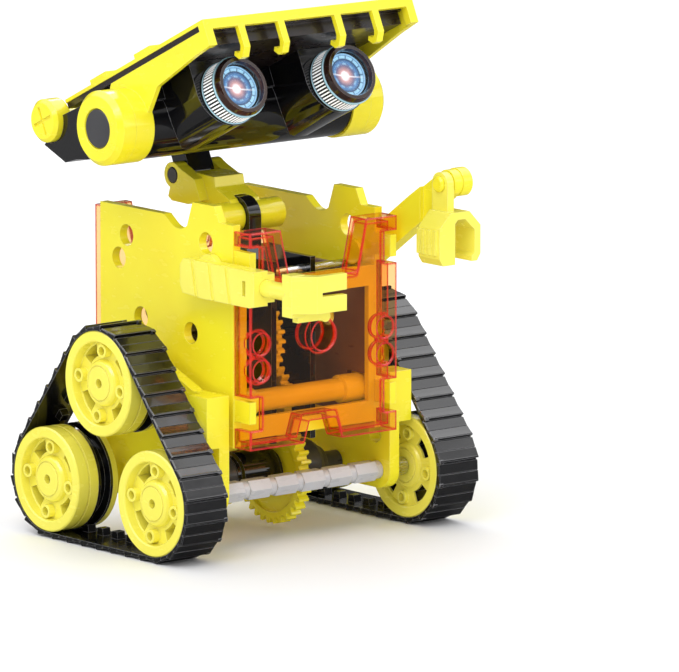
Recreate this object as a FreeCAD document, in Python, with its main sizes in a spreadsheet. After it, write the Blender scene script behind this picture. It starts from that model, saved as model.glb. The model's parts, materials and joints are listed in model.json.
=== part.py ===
import FreeCAD, Part
import math
import os
import Sketcher

# A small tracked robot on a pair of triangular belts: a box-shaped body with transparent covers, a
# tilting head with two lenses under a solar roof, two arms, and a gear train down to the rear axle.
# Right is +X seen from the front, the rear is +Y, and the belts stand on Z = 0. The pieces are drawn
# with Y = 0 midway between the front and rear axles; frameShift then moves them all so that the
# frame's origin is under the middle of the whole object.

doc = FreeCAD.newDocument("SolarRobot")
V = FreeCAD.Vector
TINY = 1e-4

CELLS = [
    ("frameShift", 12.3),
    # body
    ("sideInner", 27.5), ("sideThick", 3.0), ("bodyFront", -32.0), ("bodyRear", 36.0),
    ("bodyBottom", 34.0), ("bodyTop", 105.0), ("clipHole", 3.5),
    ("coverHalf", 30.0), ("coverBottom", 34.2), ("coverTop", 103.7), ("coverWall", 1.8),
    ("coverPlate", 2.0), ("coverDepth", 8.0), ("rearDepth", 3.3), ("rearPlate", 1.8),
    ("socketOuter", 5.7), ("socketBore", 4.8), ("socketHeight", 68.2), ("socketLength", 7.5),
    ("bossOuter", 4.1), ("bossBore", 3.3), ("bossSide", 25.3),
    # running gear
    ("axleHeight", 19.0), ("axleReach", 27.0), ("topAxleHeight", 53.8), ("axleRadius", 1.5),
    ("axleBore", 1.55), ("axleHalf", 57.0), ("beltInner", 17.0), ("beltBand", 1.2),
    ("cleatHeight", 0.8), ("beltNear", 43.5), ("beltFar", 60.0), ("wheelRadius", 16.95),
    ("outerDisc", 8.2), ("wheelCore", 5.8), ("innerDisc", 2.5), ("frameNear", 33.0),
    ("frameThick", 4.0), ("lobeRadius", 6.0), ("beadPitch", 10.96), ("beadCorner", 3.55),
    # gear train
    ("gearModule", 1.0), ("driveTeeth", 33.0), ("smallTeeth", 14.0), ("largeTeeth", 28.0),
    ("trainY", -6.0), ("motorAngle", 60.0), ("motorRadius", 10.0), ("boxThick", 2.0),
    # neck and head
    ("neckY", 1.0), ("neckZ", 101.5), ("sleeveRadius", 4.9), ("tiltY", 25.2), ("tiltZ", 112.7),
    ("headY", 6.5), ("headZ", 134.2), ("headPitch", 25.4), ("drumRadius", 11.3),
    ("drumHalf", 40.7), ("capRadius", 12.0), ("capNear", 48.0), ("capFar", 54.6),
    ("lensSide", 22.2), ("lensDrop", -1.0), ("lensFront", -36.9), ("roofHalf", 42.6),
    ("roofFront", -51.0), ("roofRear", 27.0), ("roofTop", 17.8), ("rodY", 32.0), ("rodZ", 13.0),
    ("knobRadius", 7.0),
    # arms
    ("shoulderY", -22.3), ("shoulderZ", 90.1), ("stubRadius", 3.45), ("armReach", 45.3),
    ("armRise", 34.8), ("barWidth", 9.7), ("pivotRadius", 4.3), ("wristX", -32.0),
    ("wristZ", 88.0), ("wristRadius", 2.75),
]

sheet = doc.addObject("Spreadsheet::Sheet", "Sizes")
for row, (alias, value) in enumerate(CELLS, start=1):
    sheet.set("A%d" % row, alias)
    sheet.set("B%d" % row, str(value))
    sheet.setAlias("B%d" % row, alias)
doc.recompute()


def size(alias):
    return float(sheet.get(alias))


PARTS = []


def sub_part(obj, name):
    """Gives a finished piece its name and its place in the shared frame."""
    obj.Label = name
    obj.setExpression("Placement.Base.y", "Sizes.frameShift")
    PARTS.append(obj)
    return obj


# ---------------------------------------------------------------- drawing helpers

def new_body(name):
    return doc.addObject("PartDesign::Body", name + "_body")


def plane(body, role):
    return [item for item in body.Origin.OriginFeatures if item.Role == role][0]


def new_sketch(body, role, offset=0.0):
    """A sketch on an origin plane of the body, lifted along the plane's normal by offset."""
    sketch = body.newObject("Sketcher::SketchObject", "Sketch")
    sketch.AttachmentSupport = [(plane(body, role), "")]
    sketch.MapMode = "FlatFace"
    sketch.AttachmentOffset = FreeCAD.Placement(V(0, 0, offset), FreeCAD.Rotation())
    return sketch


def path_edges(path):
    """Edges of a closed outline. A point is (u, v), or (u, v, mid_u, mid_v) at the end of an arc."""
    edges = []
    start = V(path[-1][0], path[-1][1], 0)
    for step in path:
        end = V(step[0], step[1], 0)
        if len(step) == 4:
            edges.append(Part.Arc(start, V(step[2], step[3], 0), end))
        else:
            edges.append(Part.LineSegment(start, end))
        start = end
    return edges


def end_at(sketch, index, point):
    return 1 if sketch.getPoint(index, 1).distanceToPoint(point) < TINY else 2


def draw_path(sketch, path):
    indices = [sketch.addGeometry(edge, False) for edge in path_edges(path)]
    for position, index in enumerate(indices):
        following = indices[(position + 1) % len(indices)]
        corner = V(path[position][0], path[position][1], 0)
        ends = (index, end_at(sketch, index, corner), following, end_at(sketch, following, corner))
        sketch.addConstraint(Sketcher.Constraint("Coincident", *ends))


def draw_circle(sketch, u, v, radius):
    """A circle whose radius is an alias of the sheet or a number."""
    value = size(radius) if isinstance(radius, str) else radius
    index = sketch.addGeometry(Part.Circle(V(u, v, 0), V(0, 0, 1), value), False)
    constraint = sketch.addConstraint(Sketcher.Constraint("Radius", index, value))
    if isinstance(radius, str):
        sketch.setExpression("Constraints[%d]" % constraint, "Sizes." + radius)


def pad(body, sketch, length, backwards=False):
    """A pad whose length is an expression."""
    feature = body.newObject("PartDesign::Pad", "Pad")
    feature.Profile = sketch
    feature.setExpression("Length", length)
    feature.Reversed = backwards
    sketch.Visibility = False
    return feature


def pocket(body, sketch, length, backwards=False):
    feature = body.newObject("PartDesign::Pocket", "Pocket")
    feature.Profile = sketch
    feature.setExpression("Length", length)
    feature.Reversed = backwards
    sketch.Visibility = False
    return feature


def side_prism(name, path, near, length, holes=()):
    """A plate drawn in the YZ plane, from X = near along +X. Holes are (Y, Z, radius)."""
    body = new_body(name)
    sketch = new_sketch(body, "YZ_Plane")
    draw_path(sketch, path)
    for y, z, radius in holes:
        draw_circle(sketch, y, z, radius)
    pad(body, sketch, length)
    body.setExpression("Placement.Base.x", near)
    return body


def front_prism(name, path, near, length, holes=()):
    """A plate drawn in the XZ plane, from Y = near along +Y. Holes are (X, Z, radius)."""
    body = new_body(name)
    sketch = new_sketch(body, "XZ_Plane")
    draw_path(sketch, path)
    for x, z, radius in holes:
        draw_circle(sketch, x, z, radius)
    pad(body, sketch, length, backwards=True)
    body.setExpression("Placement.Base.y", near)
    return body


def top_prism(name, path, near, length):
    """A plate drawn in the XY plane, from Z = near along +Z."""
    body = new_body(name)
    sketch = new_sketch(body, "XY_Plane")
    draw_path(sketch, path)
    pad(body, sketch, length)
    body.setExpression("Placement.Base.z", near)
    return body


def turned_x(name, profile, y="0", z="0"):
    """A piece turned about the X direction. The profile is (x, radius) points."""
    body = new_body(name)
    sketch = new_sketch(body, "XY_Plane")
    draw_path(sketch, profile)
    feature = body.newObject("PartDesign::Revolution", "Revolution")
    feature.Profile = sketch
    feature.ReferenceAxis = (sketch, ["H_Axis"])
    feature.Angle = 360.0
    sketch.Visibility = False
    body.setExpression("Placement.Base.y", y)
    body.setExpression("Placement.Base.z", z)
    return body


def turned_y(name, profile, x="0", z="0"):
    """A piece turned about the Y direction. The profile is (radius, y) points."""
    body = new_body(name)
    sketch = new_sketch(body, "XY_Plane")
    draw_path(sketch, profile)
    feature = body.newObject("PartDesign::Revolution", "Revolution")
    feature.Profile = sketch
    feature.ReferenceAxis = (sketch, ["V_Axis"])
    feature.Angle = 360.0
    sketch.Visibility = False
    body.setExpression("Placement.Base.x", x)
    body.setExpression("Placement.Base.z", z)
    return body


def box(low, high):
    """A box between two corners."""
    item = doc.addObject("Part::Box", "Box")
    item.Length = high[0] - low[0]
    item.Width = high[1] - low[1]
    item.Height = high[2] - low[2]
    item.Placement.Base = V(*low)
    return item


def rod_x(radius, near, far, y, z):
    """A cylinder along X between two stations. The radius is an alias or a number."""
    item = doc.addObject("Part::Cylinder", "Rod")
    if isinstance(radius, str):
        item.setExpression("Radius", "Sizes." + radius)
    else:
        item.Radius = radius
    item.Height = far - near
    item.Placement = FreeCAD.Placement(V(near, y, z), FreeCAD.Rotation(V(0, 1, 0), 90))
    return item


def rod_y(radius, near, far, x, z):
    """A cylinder along Y between two stations."""
    item = doc.addObject("Part::Cylinder", "Rod")
    if isinstance(radius, str):
        item.setExpression("Radius", "Sizes." + radius)
    else:
        item.Radius = radius
    item.Height = far - near
    item.Placement = FreeCAD.Placement(V(x, near, z), FreeCAD.Rotation(V(1, 0, 0), -90))
    return item


def held(item):
    """A single piece held in a compound, which then carries the piece's shift into the frame."""
    result = doc.addObject("Part::Compound", "Held")
    result.Links = [item]
    return result


def fuse(items):
    result = doc.addObject("Part::MultiFuse", "Fusion")
    result.Shapes = items
    result.Refine = True
    return result


def cut(base, tools):
    result = doc.addObject("Part::Cut", "Cut")
    result.Base = base
    result.Tool = tools[0] if len(tools) == 1 else fuse(tools)
    result.Refine = True
    return result


def mirrored(source):
    """The piece's mirror image on the other side of the middle plane."""
    item = doc.addObject("Part::Mirroring", "Mirror")
    item.Source = source
    item.Base = V(0, 0, 0)
    item.Normal = V(1, 0, 0)
    return item


def pair(source):
    """The piece and its mirror image as two separate solids."""
    both = doc.addObject("Part::Compound", "Pair")
    both.Links = [source, mirrored(source)]
    return both


def plain(shape):
    """A piece given as a finished shape."""
    item = doc.addObject("Part::Feature", "Piece")
    item.Shape = shape
    return item


def inset(path, distance):
    """A straight-sided outline moved inwards by distance. The outline runs clockwise."""
    result = []
    count = len(path)
    for index in range(count):
        before, here, after = path[index - 1], path[index], path[(index + 1) % count]
        first = V(here[0] - before[0], here[1] - before[1], 0).normalize()
        second = V(after[0] - here[0], after[1] - here[1], 0).normalize()
        normal_one = V(first.y, -first.x, 0)
        normal_two = V(second.y, -second.x, 0)
        bisector = (normal_one + normal_two).normalize()
        reach = distance / bisector.dot(normal_one)
        result.append((here[0] + bisector.x * reach, here[1] + bisector.y * reach))
    return result


# ---------------------------------------------------------------- body

def side_plate(name, side):
    """A side wall with clip holes, a dipped top edge and two latch prongs at its front edge."""
    low, high = size("bodyBottom"), size("bodyTop")
    front, rear = size("bodyFront"), size("bodyRear")
    path = [
        (rear, low), (rear, high), (3.0, high), (-0.3, 102.6), (-8.7, 102.6, -4.5, 101.2),
        (-11.5, 110.5), (-22.5, 110.5), (-25.0, high + 0.5), (front, high + 0.5), (front, low),
    ]
    holes = [(y, z, "clipHole") for y, z in CLIP_HOLES]
    holes += [(size("shoulderY"), size("shoulderZ"), "clipHole")]
    holes += [(y, z, SCREW_SHANK) for y, z in SCREWS]
    wall = side_prism(name, path, "Sizes.sideInner", "Sizes.sideThick", holes)
    near = size("sideInner")
    prongs = [box((near, front - 7.8, z), (near + 2.5, front, z + 7.0)) for z in (42.7, 90.5)]
    whole = fuse([wall] + prongs)
    return sub_part(whole if side > 0 else mirrored(whole), name)


CLIP_HOLES = [(22.4, 95.7), (26.4, 87.9), (-18.3, 98.2), (15.1, 70.0), (-10.5, 68.3)]
SCREWS = [(-19.0, 42.0), (13.5, 38.5)]
SCREW_SHANK = 1.2

side_plate("side_plate_left", -1)
side_plate("side_plate_right", 1)

half = size("coverHalf")
low = size("coverBottom")
top = size("coverTop")
COVER_PATH = [
    (-half, low), (-half, top), (-17.6, top), (-13.8, 87.3), (13.8, 87.3), (17.5, top),
    (half, top), (half, low), (7.6, low), (5.3, 41.2), (-5.8, 41.2), (-8.0, low),
]
COVER_FRONT = size("bodyFront") - size("coverDepth")


def front_cover():
    """A tray over the body's front, with a central socket, two pairs of bosses and corner windows."""
    body = new_body("front_cover")
    face = new_sketch(body, "XZ_Plane")
    draw_path(face, COVER_PATH)
    pad(body, face, "Sizes.coverDepth", backwards=True)
    hollow = new_sketch(body, "XZ_Plane", -size("coverDepth"))
    draw_path(hollow, inset(COVER_PATH, size("coverWall")))
    pocket(body, hollow, "Sizes.coverDepth - Sizes.coverPlate", backwards=True)
    body.Placement.Base = V(0, COVER_FRONT, 0)
    tube = rod_y("socketOuter", COVER_FRONT, COVER_FRONT + size("socketLength"), 0, size("socketHeight"))
    bosses = []
    bores = [rod_y("socketBore", COVER_FRONT - 1, size("bodyFront"), 0, size("socketHeight"))]
    for side in (-1, 1):
        for z in BOSS_HEIGHTS:
            x = side * size("bossSide")
            bosses.append(rod_y("bossOuter", COVER_FRONT, COVER_FRONT + 4.0, x, z))
            bores.append(rod_y("bossBore", COVER_FRONT - 1, COVER_FRONT + 5.0, x, z))
        web = size("bossSide") * side
        bosses.append(box((web - 1.2, COVER_FRONT, 61.0), (web + 1.2, COVER_FRONT + 4.0, 66.0)))
        for z in (40.5, 88.5):
            low, high = sorted((side * 25.0, side * 31.0))
            bores.append(box((low, COVER_FRONT - 1, z), (high, size("bodyFront") + 0.1, z + 10.5)))
    return sub_part(cut(fuse([body, tube] + bosses), bores), "front_cover")


BOSS_HEIGHTS = (68.0, 59.3)
front_cover()


def rear_cover():
    """A shallow tray over the body's back."""
    body = new_body("rear_cover")
    face = new_sketch(body, "XZ_Plane")
    draw_path(face, COVER_PATH)
    pad(body, face, "Sizes.rearDepth", backwards=True)
    hollow = new_sketch(body, "XZ_Plane")
    draw_path(hollow, inset(COVER_PATH, size("coverWall")))
    pocket(body, hollow, "Sizes.rearDepth - Sizes.rearPlate", backwards=False)
    body.Placement.Base = V(0, size("bodyRear"), 0)
    return sub_part(held(body), "rear_cover")


rear_cover()


def inner_frame():
    """A window frame just behind the front cover, between the side walls."""
    width = size("sideInner")
    outline = [(-width, 36.2), (-width, 87.0), (width, 87.0), (width, 36.2)]
    window = [(-25.0, 43.0), (-25.0, 80.4), (25.0, 80.4), (25.0, 43.0)]
    body = new_body("inner_frame")
    sketch = new_sketch(body, "XZ_Plane")
    draw_path(sketch, outline)
    draw_path(sketch, window)
    pad(body, sketch, "Sizes.coverPlate", backwards=True)
    body.setExpression("Placement.Base.y", "Sizes.bodyFront")
    return body


sub_part(held(inner_frame()), "inner_frame")

collar = 4.5
tube_end = size("sideInner")
CROSS_TUBE = [
    (-tube_end, 2.0), (-tube_end, collar), (-18.0, collar), (-17.4, 3.6), (17.4, 3.6),
    (18.0, collar), (tube_end, collar), (tube_end, 2.0),
]
sub_part(held(turned_x("cross_tube", CROSS_TUBE, "-25.4", "46.8")), "cross_tube")


# ---------------------------------------------------------------- gears

PRESSURE = math.radians(20.0)
BACKLASH = 0.1


def pitch_radius(teeth):
    return size("gearModule") * teeth / 2.0


def involute(angle):
    return math.tan(angle) - angle


def polar(radius, angle):
    return V(0, radius * math.cos(angle), radius * math.sin(angle))


def gear_shape(teeth, phase, near, far, y, z, bore):
    """A spur gear between two X stations, with one tooth centred at phase (radians from +Y to +Z)."""
    module = size("gearModule")
    pitch = pitch_radius(teeth)
    base = pitch * math.cos(PRESSURE)
    tip, root = pitch + 0.8 * module, pitch - 1.05 * module
    half_tooth = (math.pi * module / 2.0 - BACKLASH) / (2.0 * pitch)

    def half_angle(radius):
        lean = math.acos(min(1.0, base / radius))
        return half_tooth + involute(PRESSURE) - involute(lean)

    start = max(base, root) + 0.01
    middle = (start + tip) / 2.0
    step = 2.0 * math.pi / teeth
    edges = []
    for tooth in range(teeth):
        centre = phase + tooth * step
        low, high = half_angle(start), half_angle(tip)
        foot, far_foot = polar(root, centre - low), polar(root, centre + low)
        rise, fall = polar(start, centre - low), polar(start, centre + low)
        top, far_top = polar(tip, centre - high), polar(tip, centre + high)
        edges.append(Part.LineSegment(foot, rise))
        edges.append(Part.Arc(rise, polar(middle, centre - half_angle(middle)), top))
        edges.append(Part.Arc(top, polar(tip, centre), far_top))
        edges.append(Part.Arc(far_top, polar(middle, centre + half_angle(middle)), fall))
        edges.append(Part.LineSegment(fall, far_foot))
        gap_end = polar(root, centre + step - low)
        edges.append(Part.Arc(far_foot, polar(root, centre + step / 2.0), gap_end))
    wire = Part.Wire([edge.toShape() for edge in edges])
    gear = Part.Face(wire).extrude(V(far - near, 0, 0))
    gear = gear.cut(Part.makeCylinder(bore, far - near + 2, V(-1, 0, 0), V(1, 0, 0)))
    gear.translate(V(near, y, z))
    return gear


def meshing_phase(phase, teeth, direction, other_teeth):
    """The phase of a gear in mesh with one at the given phase, in the given direction from it."""
    near, far = pitch_radius(teeth), pitch_radius(other_teeth)
    arc = near * (phase - direction) + math.pi * size("gearModule") / 2.0
    return direction + math.pi - arc / far


DRIVE, SMALL, LARGE = int(size("driveTeeth")), int(size("smallTeeth")), int(size("largeTeeth"))
TRAIN_Y = size("trainY")
AXLE_Z, REACH = size("axleHeight"), size("axleReach")
LOWER_Z = AXLE_Z + pitch_radius(DRIVE) + pitch_radius(SMALL)
UPPER_Z = LOWER_Z + pitch_radius(LARGE) + pitch_radius(SMALL)
LEAN = math.radians(size("motorAngle"))
MOTOR_Y = TRAIN_Y + (pitch_radius(LARGE) + pitch_radius(SMALL)) * math.sin(LEAN)
MOTOR_Z = UPPER_Z + (pitch_radius(LARGE) + pitch_radius(SMALL)) * math.cos(LEAN)
UP = math.pi / 2.0
FINAL_STAGE, MIDDLE_STAGE, MOTOR_STAGE = (5.0, 9.0), (1.0, 4.0), (-3.0, 0.0)
RUNNING = size("axleBore")


def hub(radius, bore, near, far, y, z):
    """A short tube along X."""
    outer = Part.makeCylinder(radius, far - near, V(near, y, z), V(1, 0, 0))
    return outer.cut(Part.makeCylinder(bore, far - near + 2, V(near - 1, y, z), V(1, 0, 0)))


def gears():
    drive_phase = 0.0
    rear_phase = meshing_phase(drive_phase, DRIVE, 0.0, DRIVE)
    lower_phase = meshing_phase(drive_phase, DRIVE, UP, SMALL)
    large_phase = 0.0
    upper_phase = meshing_phase(large_phase, LARGE, UP, SMALL)
    motor_phase = meshing_phase(large_phase, LARGE, UP - LEAN, SMALL)
    shaft = SHAFT_RADIUS

    drive = gear_shape(DRIVE, drive_phase, *FINAL_STAGE, TRAIN_Y, AXLE_Z, shaft)
    dish = hub(13.6, 5.5, 5.0, 6.2, TRAIN_Y, AXLE_Z)
    sub_part(plain(drive.cut(dish)), "drive_gear")

    rear = gear_shape(DRIVE, rear_phase, *FINAL_STAGE, REACH, AXLE_Z, size("axleRadius"))
    holes = [Part.makeCylinder(2.6, 6.0, V(4.0, 0, 0) + polar(9.5, turn * UP), V(1, 0, 0))
             for turn in range(4)]
    for hole in holes:
        hole.translate(V(0, REACH, AXLE_Z))
    sub_part(plain(rear.cut(holes)), "rear_gear")

    low_small = gear_shape(SMALL, lower_phase, 4.9, FINAL_STAGE[1], TRAIN_Y, LOWER_Z, RUNNING)
    low_large = gear_shape(LARGE, large_phase, *MIDDLE_STAGE, TRAIN_Y, LOWER_Z, RUNNING)
    low_hub = hub(5.0, RUNNING, MIDDLE_STAGE[1], 4.9, TRAIN_Y, LOWER_Z)
    sub_part(plain(low_large.fuse([low_hub, low_small]).removeSplitter()), "compound_gear_lower")

    high_small = gear_shape(SMALL, upper_phase, 0.9, MIDDLE_STAGE[1], TRAIN_Y, UPPER_Z, RUNNING)
    high_large = gear_shape(LARGE, large_phase, *MOTOR_STAGE, TRAIN_Y, UPPER_Z, RUNNING)
    high_hub = hub(5.0, RUNNING, MOTOR_STAGE[1], 0.9, TRAIN_Y, UPPER_Z)
    sub_part(plain(high_large.fuse([high_hub, high_small]).removeSplitter()), "compound_gear_upper")

    pinion = gear_shape(SMALL, motor_phase, *MOTOR_STAGE, MOTOR_Y, MOTOR_Z, 0.5)
    spindle = Part.makeCylinder(1.0, 10.2, V(-10.0, MOTOR_Y, MOTOR_Z), V(1, 0, 0))
    sub_part(plain(pinion.fuse(spindle).removeSplitter()), "motor_pinion")


SHAFT_RADIUS = 2.0
gears()


# ---------------------------------------------------------------- gearbox and motor

PIN = size("axleRadius")
TIES = [(-17.0, 85.0), (20.0, 62.0)]
TIE_RADIUS = 2.0
BOX_PATH = [
    (-21.0, 31.0), (-21.0, 90.0), (2.0, 90.0), (8.0, 86.0), (24.0, 86.0), (24.0, 58.0),
    (10.0, 52.0), (10.0, 31.0),
]
BOX_LEFT, BOX_RIGHT = -6.0, 10.0
LINER_FRONT, LINER_REAR = -29.5, 8.0
LINER_FOOT, LINER_BOTTOM, LINER_TOP = 38.0, 51.5, 85.5
LINER_HOLE = CLIP_HOLES[4]


def gearbox():
    pins = [(TRAIN_Y, LOWER_Z, PIN), (TRAIN_Y, UPPER_Z, PIN)]
    ties = [(y, z, TIE_RADIUS) for y, z in TIES]
    shaft_gap = [(MOTOR_Y, MOTOR_Z, 2.5)]
    left = side_prism("gearbox_plate_left", BOX_PATH, str(BOX_LEFT), "Sizes.boxThick",
                      pins + ties + shaft_gap)
    right = side_prism("gearbox_plate_right", BOX_PATH, str(BOX_RIGHT), "Sizes.boxThick", pins + ties)
    sub_part(held(left), "gearbox_plate_left")
    sub_part(held(right), "gearbox_plate_right")
    far = BOX_RIGHT + size("boxThick")
    gear_pins = doc.addObject("Part::Compound", "Pins")
    gear_pins.Links = [rod_x("axleRadius", BOX_LEFT - 0.8, far + 0.8, TRAIN_Y, z)
                       for z in (LOWER_Z, UPPER_Z)]
    sub_part(gear_pins, "gear_pins")
    rods = doc.addObject("Part::Compound", "TieRods")
    rods.Links = [rod_x(TIE_RADIUS, -size("sideInner"), size("sideInner"), y, z) for y, z in TIES]
    sub_part(rods, "gearbox_tie_rods")
    can = size("motorRadius")
    profile = [
        (BOX_LEFT - 0.1, 1.05), (BOX_LEFT - 0.1, can - 1.0), (BOX_LEFT - 1.1, can), (-23.5, can),
        (-24.5, can - 1.0), (-24.5, 3.0), (-26.0, 3.0), (-26.0, 0.0), (-10.1, 0.0), (-10.1, 1.05),
    ]
    sub_part(held(turned_x("motor_can", profile, str(MOTOR_Y), str(MOTOR_Z))), "motor_can")


def wall_liner():
    """A dark plate flat on the right wall, behind the cross tube and notched round the upper tie rod."""
    wall = size("sideInner")
    near = wall - size("boxThick")
    tube_rear = LINER_FRONT + 9.0
    upper = box((near, LINER_FRONT, LINER_BOTTOM), (wall, LINER_REAR, LINER_TOP))
    lower = box((near, tube_rear, LINER_FOOT), (wall, LINER_REAR, LINER_BOTTOM))
    rod_notch = rod_x(TIE_RADIUS, wall - 3.0, wall + 1.0, *TIES[0])
    clip_hole = rod_x("clipHole", wall - 3.0, wall + 1.0, *LINER_HOLE)
    sub_part(cut(fuse([upper, lower]), [rod_notch, clip_hole]), "wall_liner")


gearbox()
wall_liner()


# ---------------------------------------------------------------- drive shaft and axles

def drive_line():
    end = size("frameNear") + size("frameThick") - 0.4
    near = size("frameNear") - 0.2
    profile = [(-end, 0.0), (-end, SHAFT_RADIUS), (-near, SHAFT_RADIUS), (-near, 3.4),
               (-27.0, 3.4), (-27.0, 6.8), (-13.2, 6.8), (-13.2, SHAFT_RADIUS),
               (near - 7.6, SHAFT_RADIUS), (near - 7.6, 3.4), (near, 3.4), (near, SHAFT_RADIUS),
               (end, SHAFT_RADIUS), (end, 0.0)]
    sub_part(held(turned_x("drive_shaft", profile, "Sizes.trainY", "Sizes.axleHeight")), "drive_shaft")
    black = [(-13.1, SHAFT_RADIUS), (-13.1, 7.0), (-11.6, 7.0), (-11.0, 8.0), (3.4, 8.0),
             (4.0, 7.4), (4.9, 7.4), (4.9, SHAFT_RADIUS)]
    sub_part(held(turned_x("drive_drum_black", black, "Sizes.trainY", "Sizes.axleHeight")),
             "drive_drum_black")
    grey = [(9.1, SHAFT_RADIUS), (9.1, 7.6), (10.4, 8.8), (20.0, 8.8), (21.6, 8.0), (22.0, 6.4),
            (24.9, 5.8), (24.9, SHAFT_RADIUS)]
    sub_part(held(turned_x("drive_drum_grey", grey, "Sizes.trainY", "Sizes.axleHeight")),
             "drive_drum_grey")


drive_line()

COLLAR = 3.0
COLLAR_NEAR = size("frameNear") + size("frameThick") + 0.1
COLLAR_FAR = size("beltNear") - 0.1


def long_axle(name, y):
    end, radius = size("axleHalf"), size("axleRadius")
    profile = [(-end, 0.0), (-end, radius - 0.3), (-end + 0.3, radius), (-COLLAR_FAR, radius),
               (-COLLAR_FAR, COLLAR), (-COLLAR_NEAR, COLLAR), (-COLLAR_NEAR, radius),
               (COLLAR_NEAR, radius), (COLLAR_NEAR, COLLAR), (COLLAR_FAR, COLLAR),
               (COLLAR_FAR, radius), (end - 0.3, radius), (end, radius - 0.3), (end, 0.0)]
    sub_part(held(turned_x(name, profile, y, "Sizes.axleHeight")), name)


long_axle("front_axle", "-Sizes.axleReach")
long_axle("rear_axle", "Sizes.axleReach")


def stub_axle():
    end, radius = size("axleHalf"), size("axleRadius")
    near = size("frameNear") - 1.4
    profile = [(near, 0.0), (near, 2.6), (near + 1.3, 2.6), (near + 1.3, radius),
               (COLLAR_NEAR, radius), (COLLAR_NEAR, COLLAR), (COLLAR_FAR, COLLAR),
               (COLLAR_FAR, radius), (end - 0.3, radius), (end, radius - 0.3), (end, 0.0)]
    return turned_x("top_axle", profile, "0", "Sizes.topAxleHeight")


stub = stub_axle()
sub_part(mirrored(stub), "top_axle_left")
sub_part(held(stub), "top_axle_right")


def hex_beads():
    """Six hexagonal beads in a row on the front axle, each with a round neck at one end."""
    corner = size("beadCorner")
    body = new_body("bead")
    sketch = new_sketch(body, "YZ_Plane")
    draw_path(sketch, [(corner * math.cos(turn * math.pi / 3), corner * math.sin(turn * math.pi / 3))
                       for turn in range(6)])
    draw_circle(sketch, 0, 0, "axleRadius")
    pad(body, sketch, "Sizes.beadPitch - 2.4")
    neck = new_sketch(body, "YZ_Plane", size("beadPitch") - 2.4)
    draw_circle(neck, 0, 0, 2.95)
    draw_circle(neck, 0, 0, "axleRadius")
    pad(body, neck, "2.34")
    doc.recompute()
    shape = body.Shape
    row = []
    for index in range(6):
        bead = shape.copy()
        bead.translate(V((index - 3) * size("beadPitch") + 0.03, -REACH, AXLE_Z))
        row.append(bead)
    sub_part(plain(Part.makeCompound(row)), "hex_beads")


hex_beads()


def rear_sleeves():
    """Two sleeves that fill the rear axle on both sides of its gear."""
    end = size("frameNear") - 0.1
    radius = size("axleRadius")
    left = [(-end, radius), (-end, 2.8), (4.9, 2.8), (4.9, radius)]
    right = [(9.1, radius), (9.1, 2.8), (end, 2.8), (end, radius)]
    both = doc.addObject("Part::Compound", "Sleeves")
    both.Links = [turned_x("sleeve", side, "Sizes.axleReach", "Sizes.axleHeight")
                  for side in (left, right)]
    sub_part(both, "rear_axle_sleeves")


rear_sleeves()


# ---------------------------------------------------------------- track frames

TOP_Z = size("topAxleHeight")
LOBE = size("lobeRadius")
SLOPE = V(TOP_Z - AXLE_Z, REACH, 0).normalize()


def arc_point(centre, radius, degrees):
    angle = math.radians(degrees)
    return centre[0] + radius * math.cos(angle), centre[1] + radius * math.sin(angle)


def track_frame():
    """The plate that holds a side's three axles, with a block at its upper front corner."""
    tilt = math.degrees(math.atan2(SLOPE.y, SLOPE.x))
    rear, top, front = (REACH, AXLE_Z), (0.0, TOP_Z), (-REACH, AXLE_Z)
    path = [
        (REACH, AXLE_Z - LOBE),
        arc_point(rear, LOBE, tilt) + arc_point(rear, LOBE, (tilt - 90) / 2),
        arc_point(top, LOBE, tilt),
        arc_point(top, LOBE, 180 - tilt) + arc_point(top, LOBE, 90),
        (-20.0, 51.5), (-33.0, 51.5), (-33.0, AXLE_Z),
        arc_point(front, LOBE, 270) + arc_point(front, LOBE, 225),
    ]
    holes = [(-REACH, AXLE_Z, "axleBore"), (REACH, AXLE_Z, "axleBore"), (0, TOP_Z, "axleBore"),
             (TRAIN_Y, AXLE_Z, SHAFT_RADIUS + 0.05), (-25.6, 30.6, 3.0)]
    holes += [(y, z, SCREW_SHANK) for y, z in SCREWS]
    plate = side_prism("track_frame", path, "Sizes.frameNear", "Sizes.frameThick", holes)
    block = box((37.0, -33.0, 35.0), (42.0, -24.0, 51.5))
    near = size("sideInner") + size("sideThick")
    posts = [cut(rod_x(4.0, near, size("frameNear"), y, z), [rod_x(SCREW_SHANK, near - 1, 40, y, z)])
             for y, z in SCREWS]
    return fuse([plate, block] + posts)


frame_right = track_frame()
sub_part(mirrored(frame_right), "track_frame_left")
sub_part(held(frame_right), "track_frame_right")


def frame_screws():
    """Four identical screws that hold the track frames to the side walls."""
    face = size("frameNear") + size("frameThick")
    profile = [(28.6, 0.0), (28.6, SCREW_SHANK), (face, SCREW_SHANK), (face, 2.6),
               (face + 1.0, 2.6), (face + 1.5, 1.9), (face + 1.5, 0.0)]
    solids = []
    for y, z in SCREWS:
        turned = turned_x("screw", profile, str(y), str(z))
        slots = [box((face + 0.7, y - 1.5, z - 0.3), (face + 2, y + 1.5, z + 0.3)),
                 box((face + 0.7, y - 0.3, z - 1.5), (face + 2, y + 0.3, z + 1.5))]
        screw = cut(turned, slots)
        solids += [screw, mirrored(screw)]
    group = doc.addObject("Part::Compound", "Screws")
    group.Links = solids
    sub_part(group, "frame_screws")


frame_screws()


# ---------------------------------------------------------------- belts

CLEATS = 34


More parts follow.
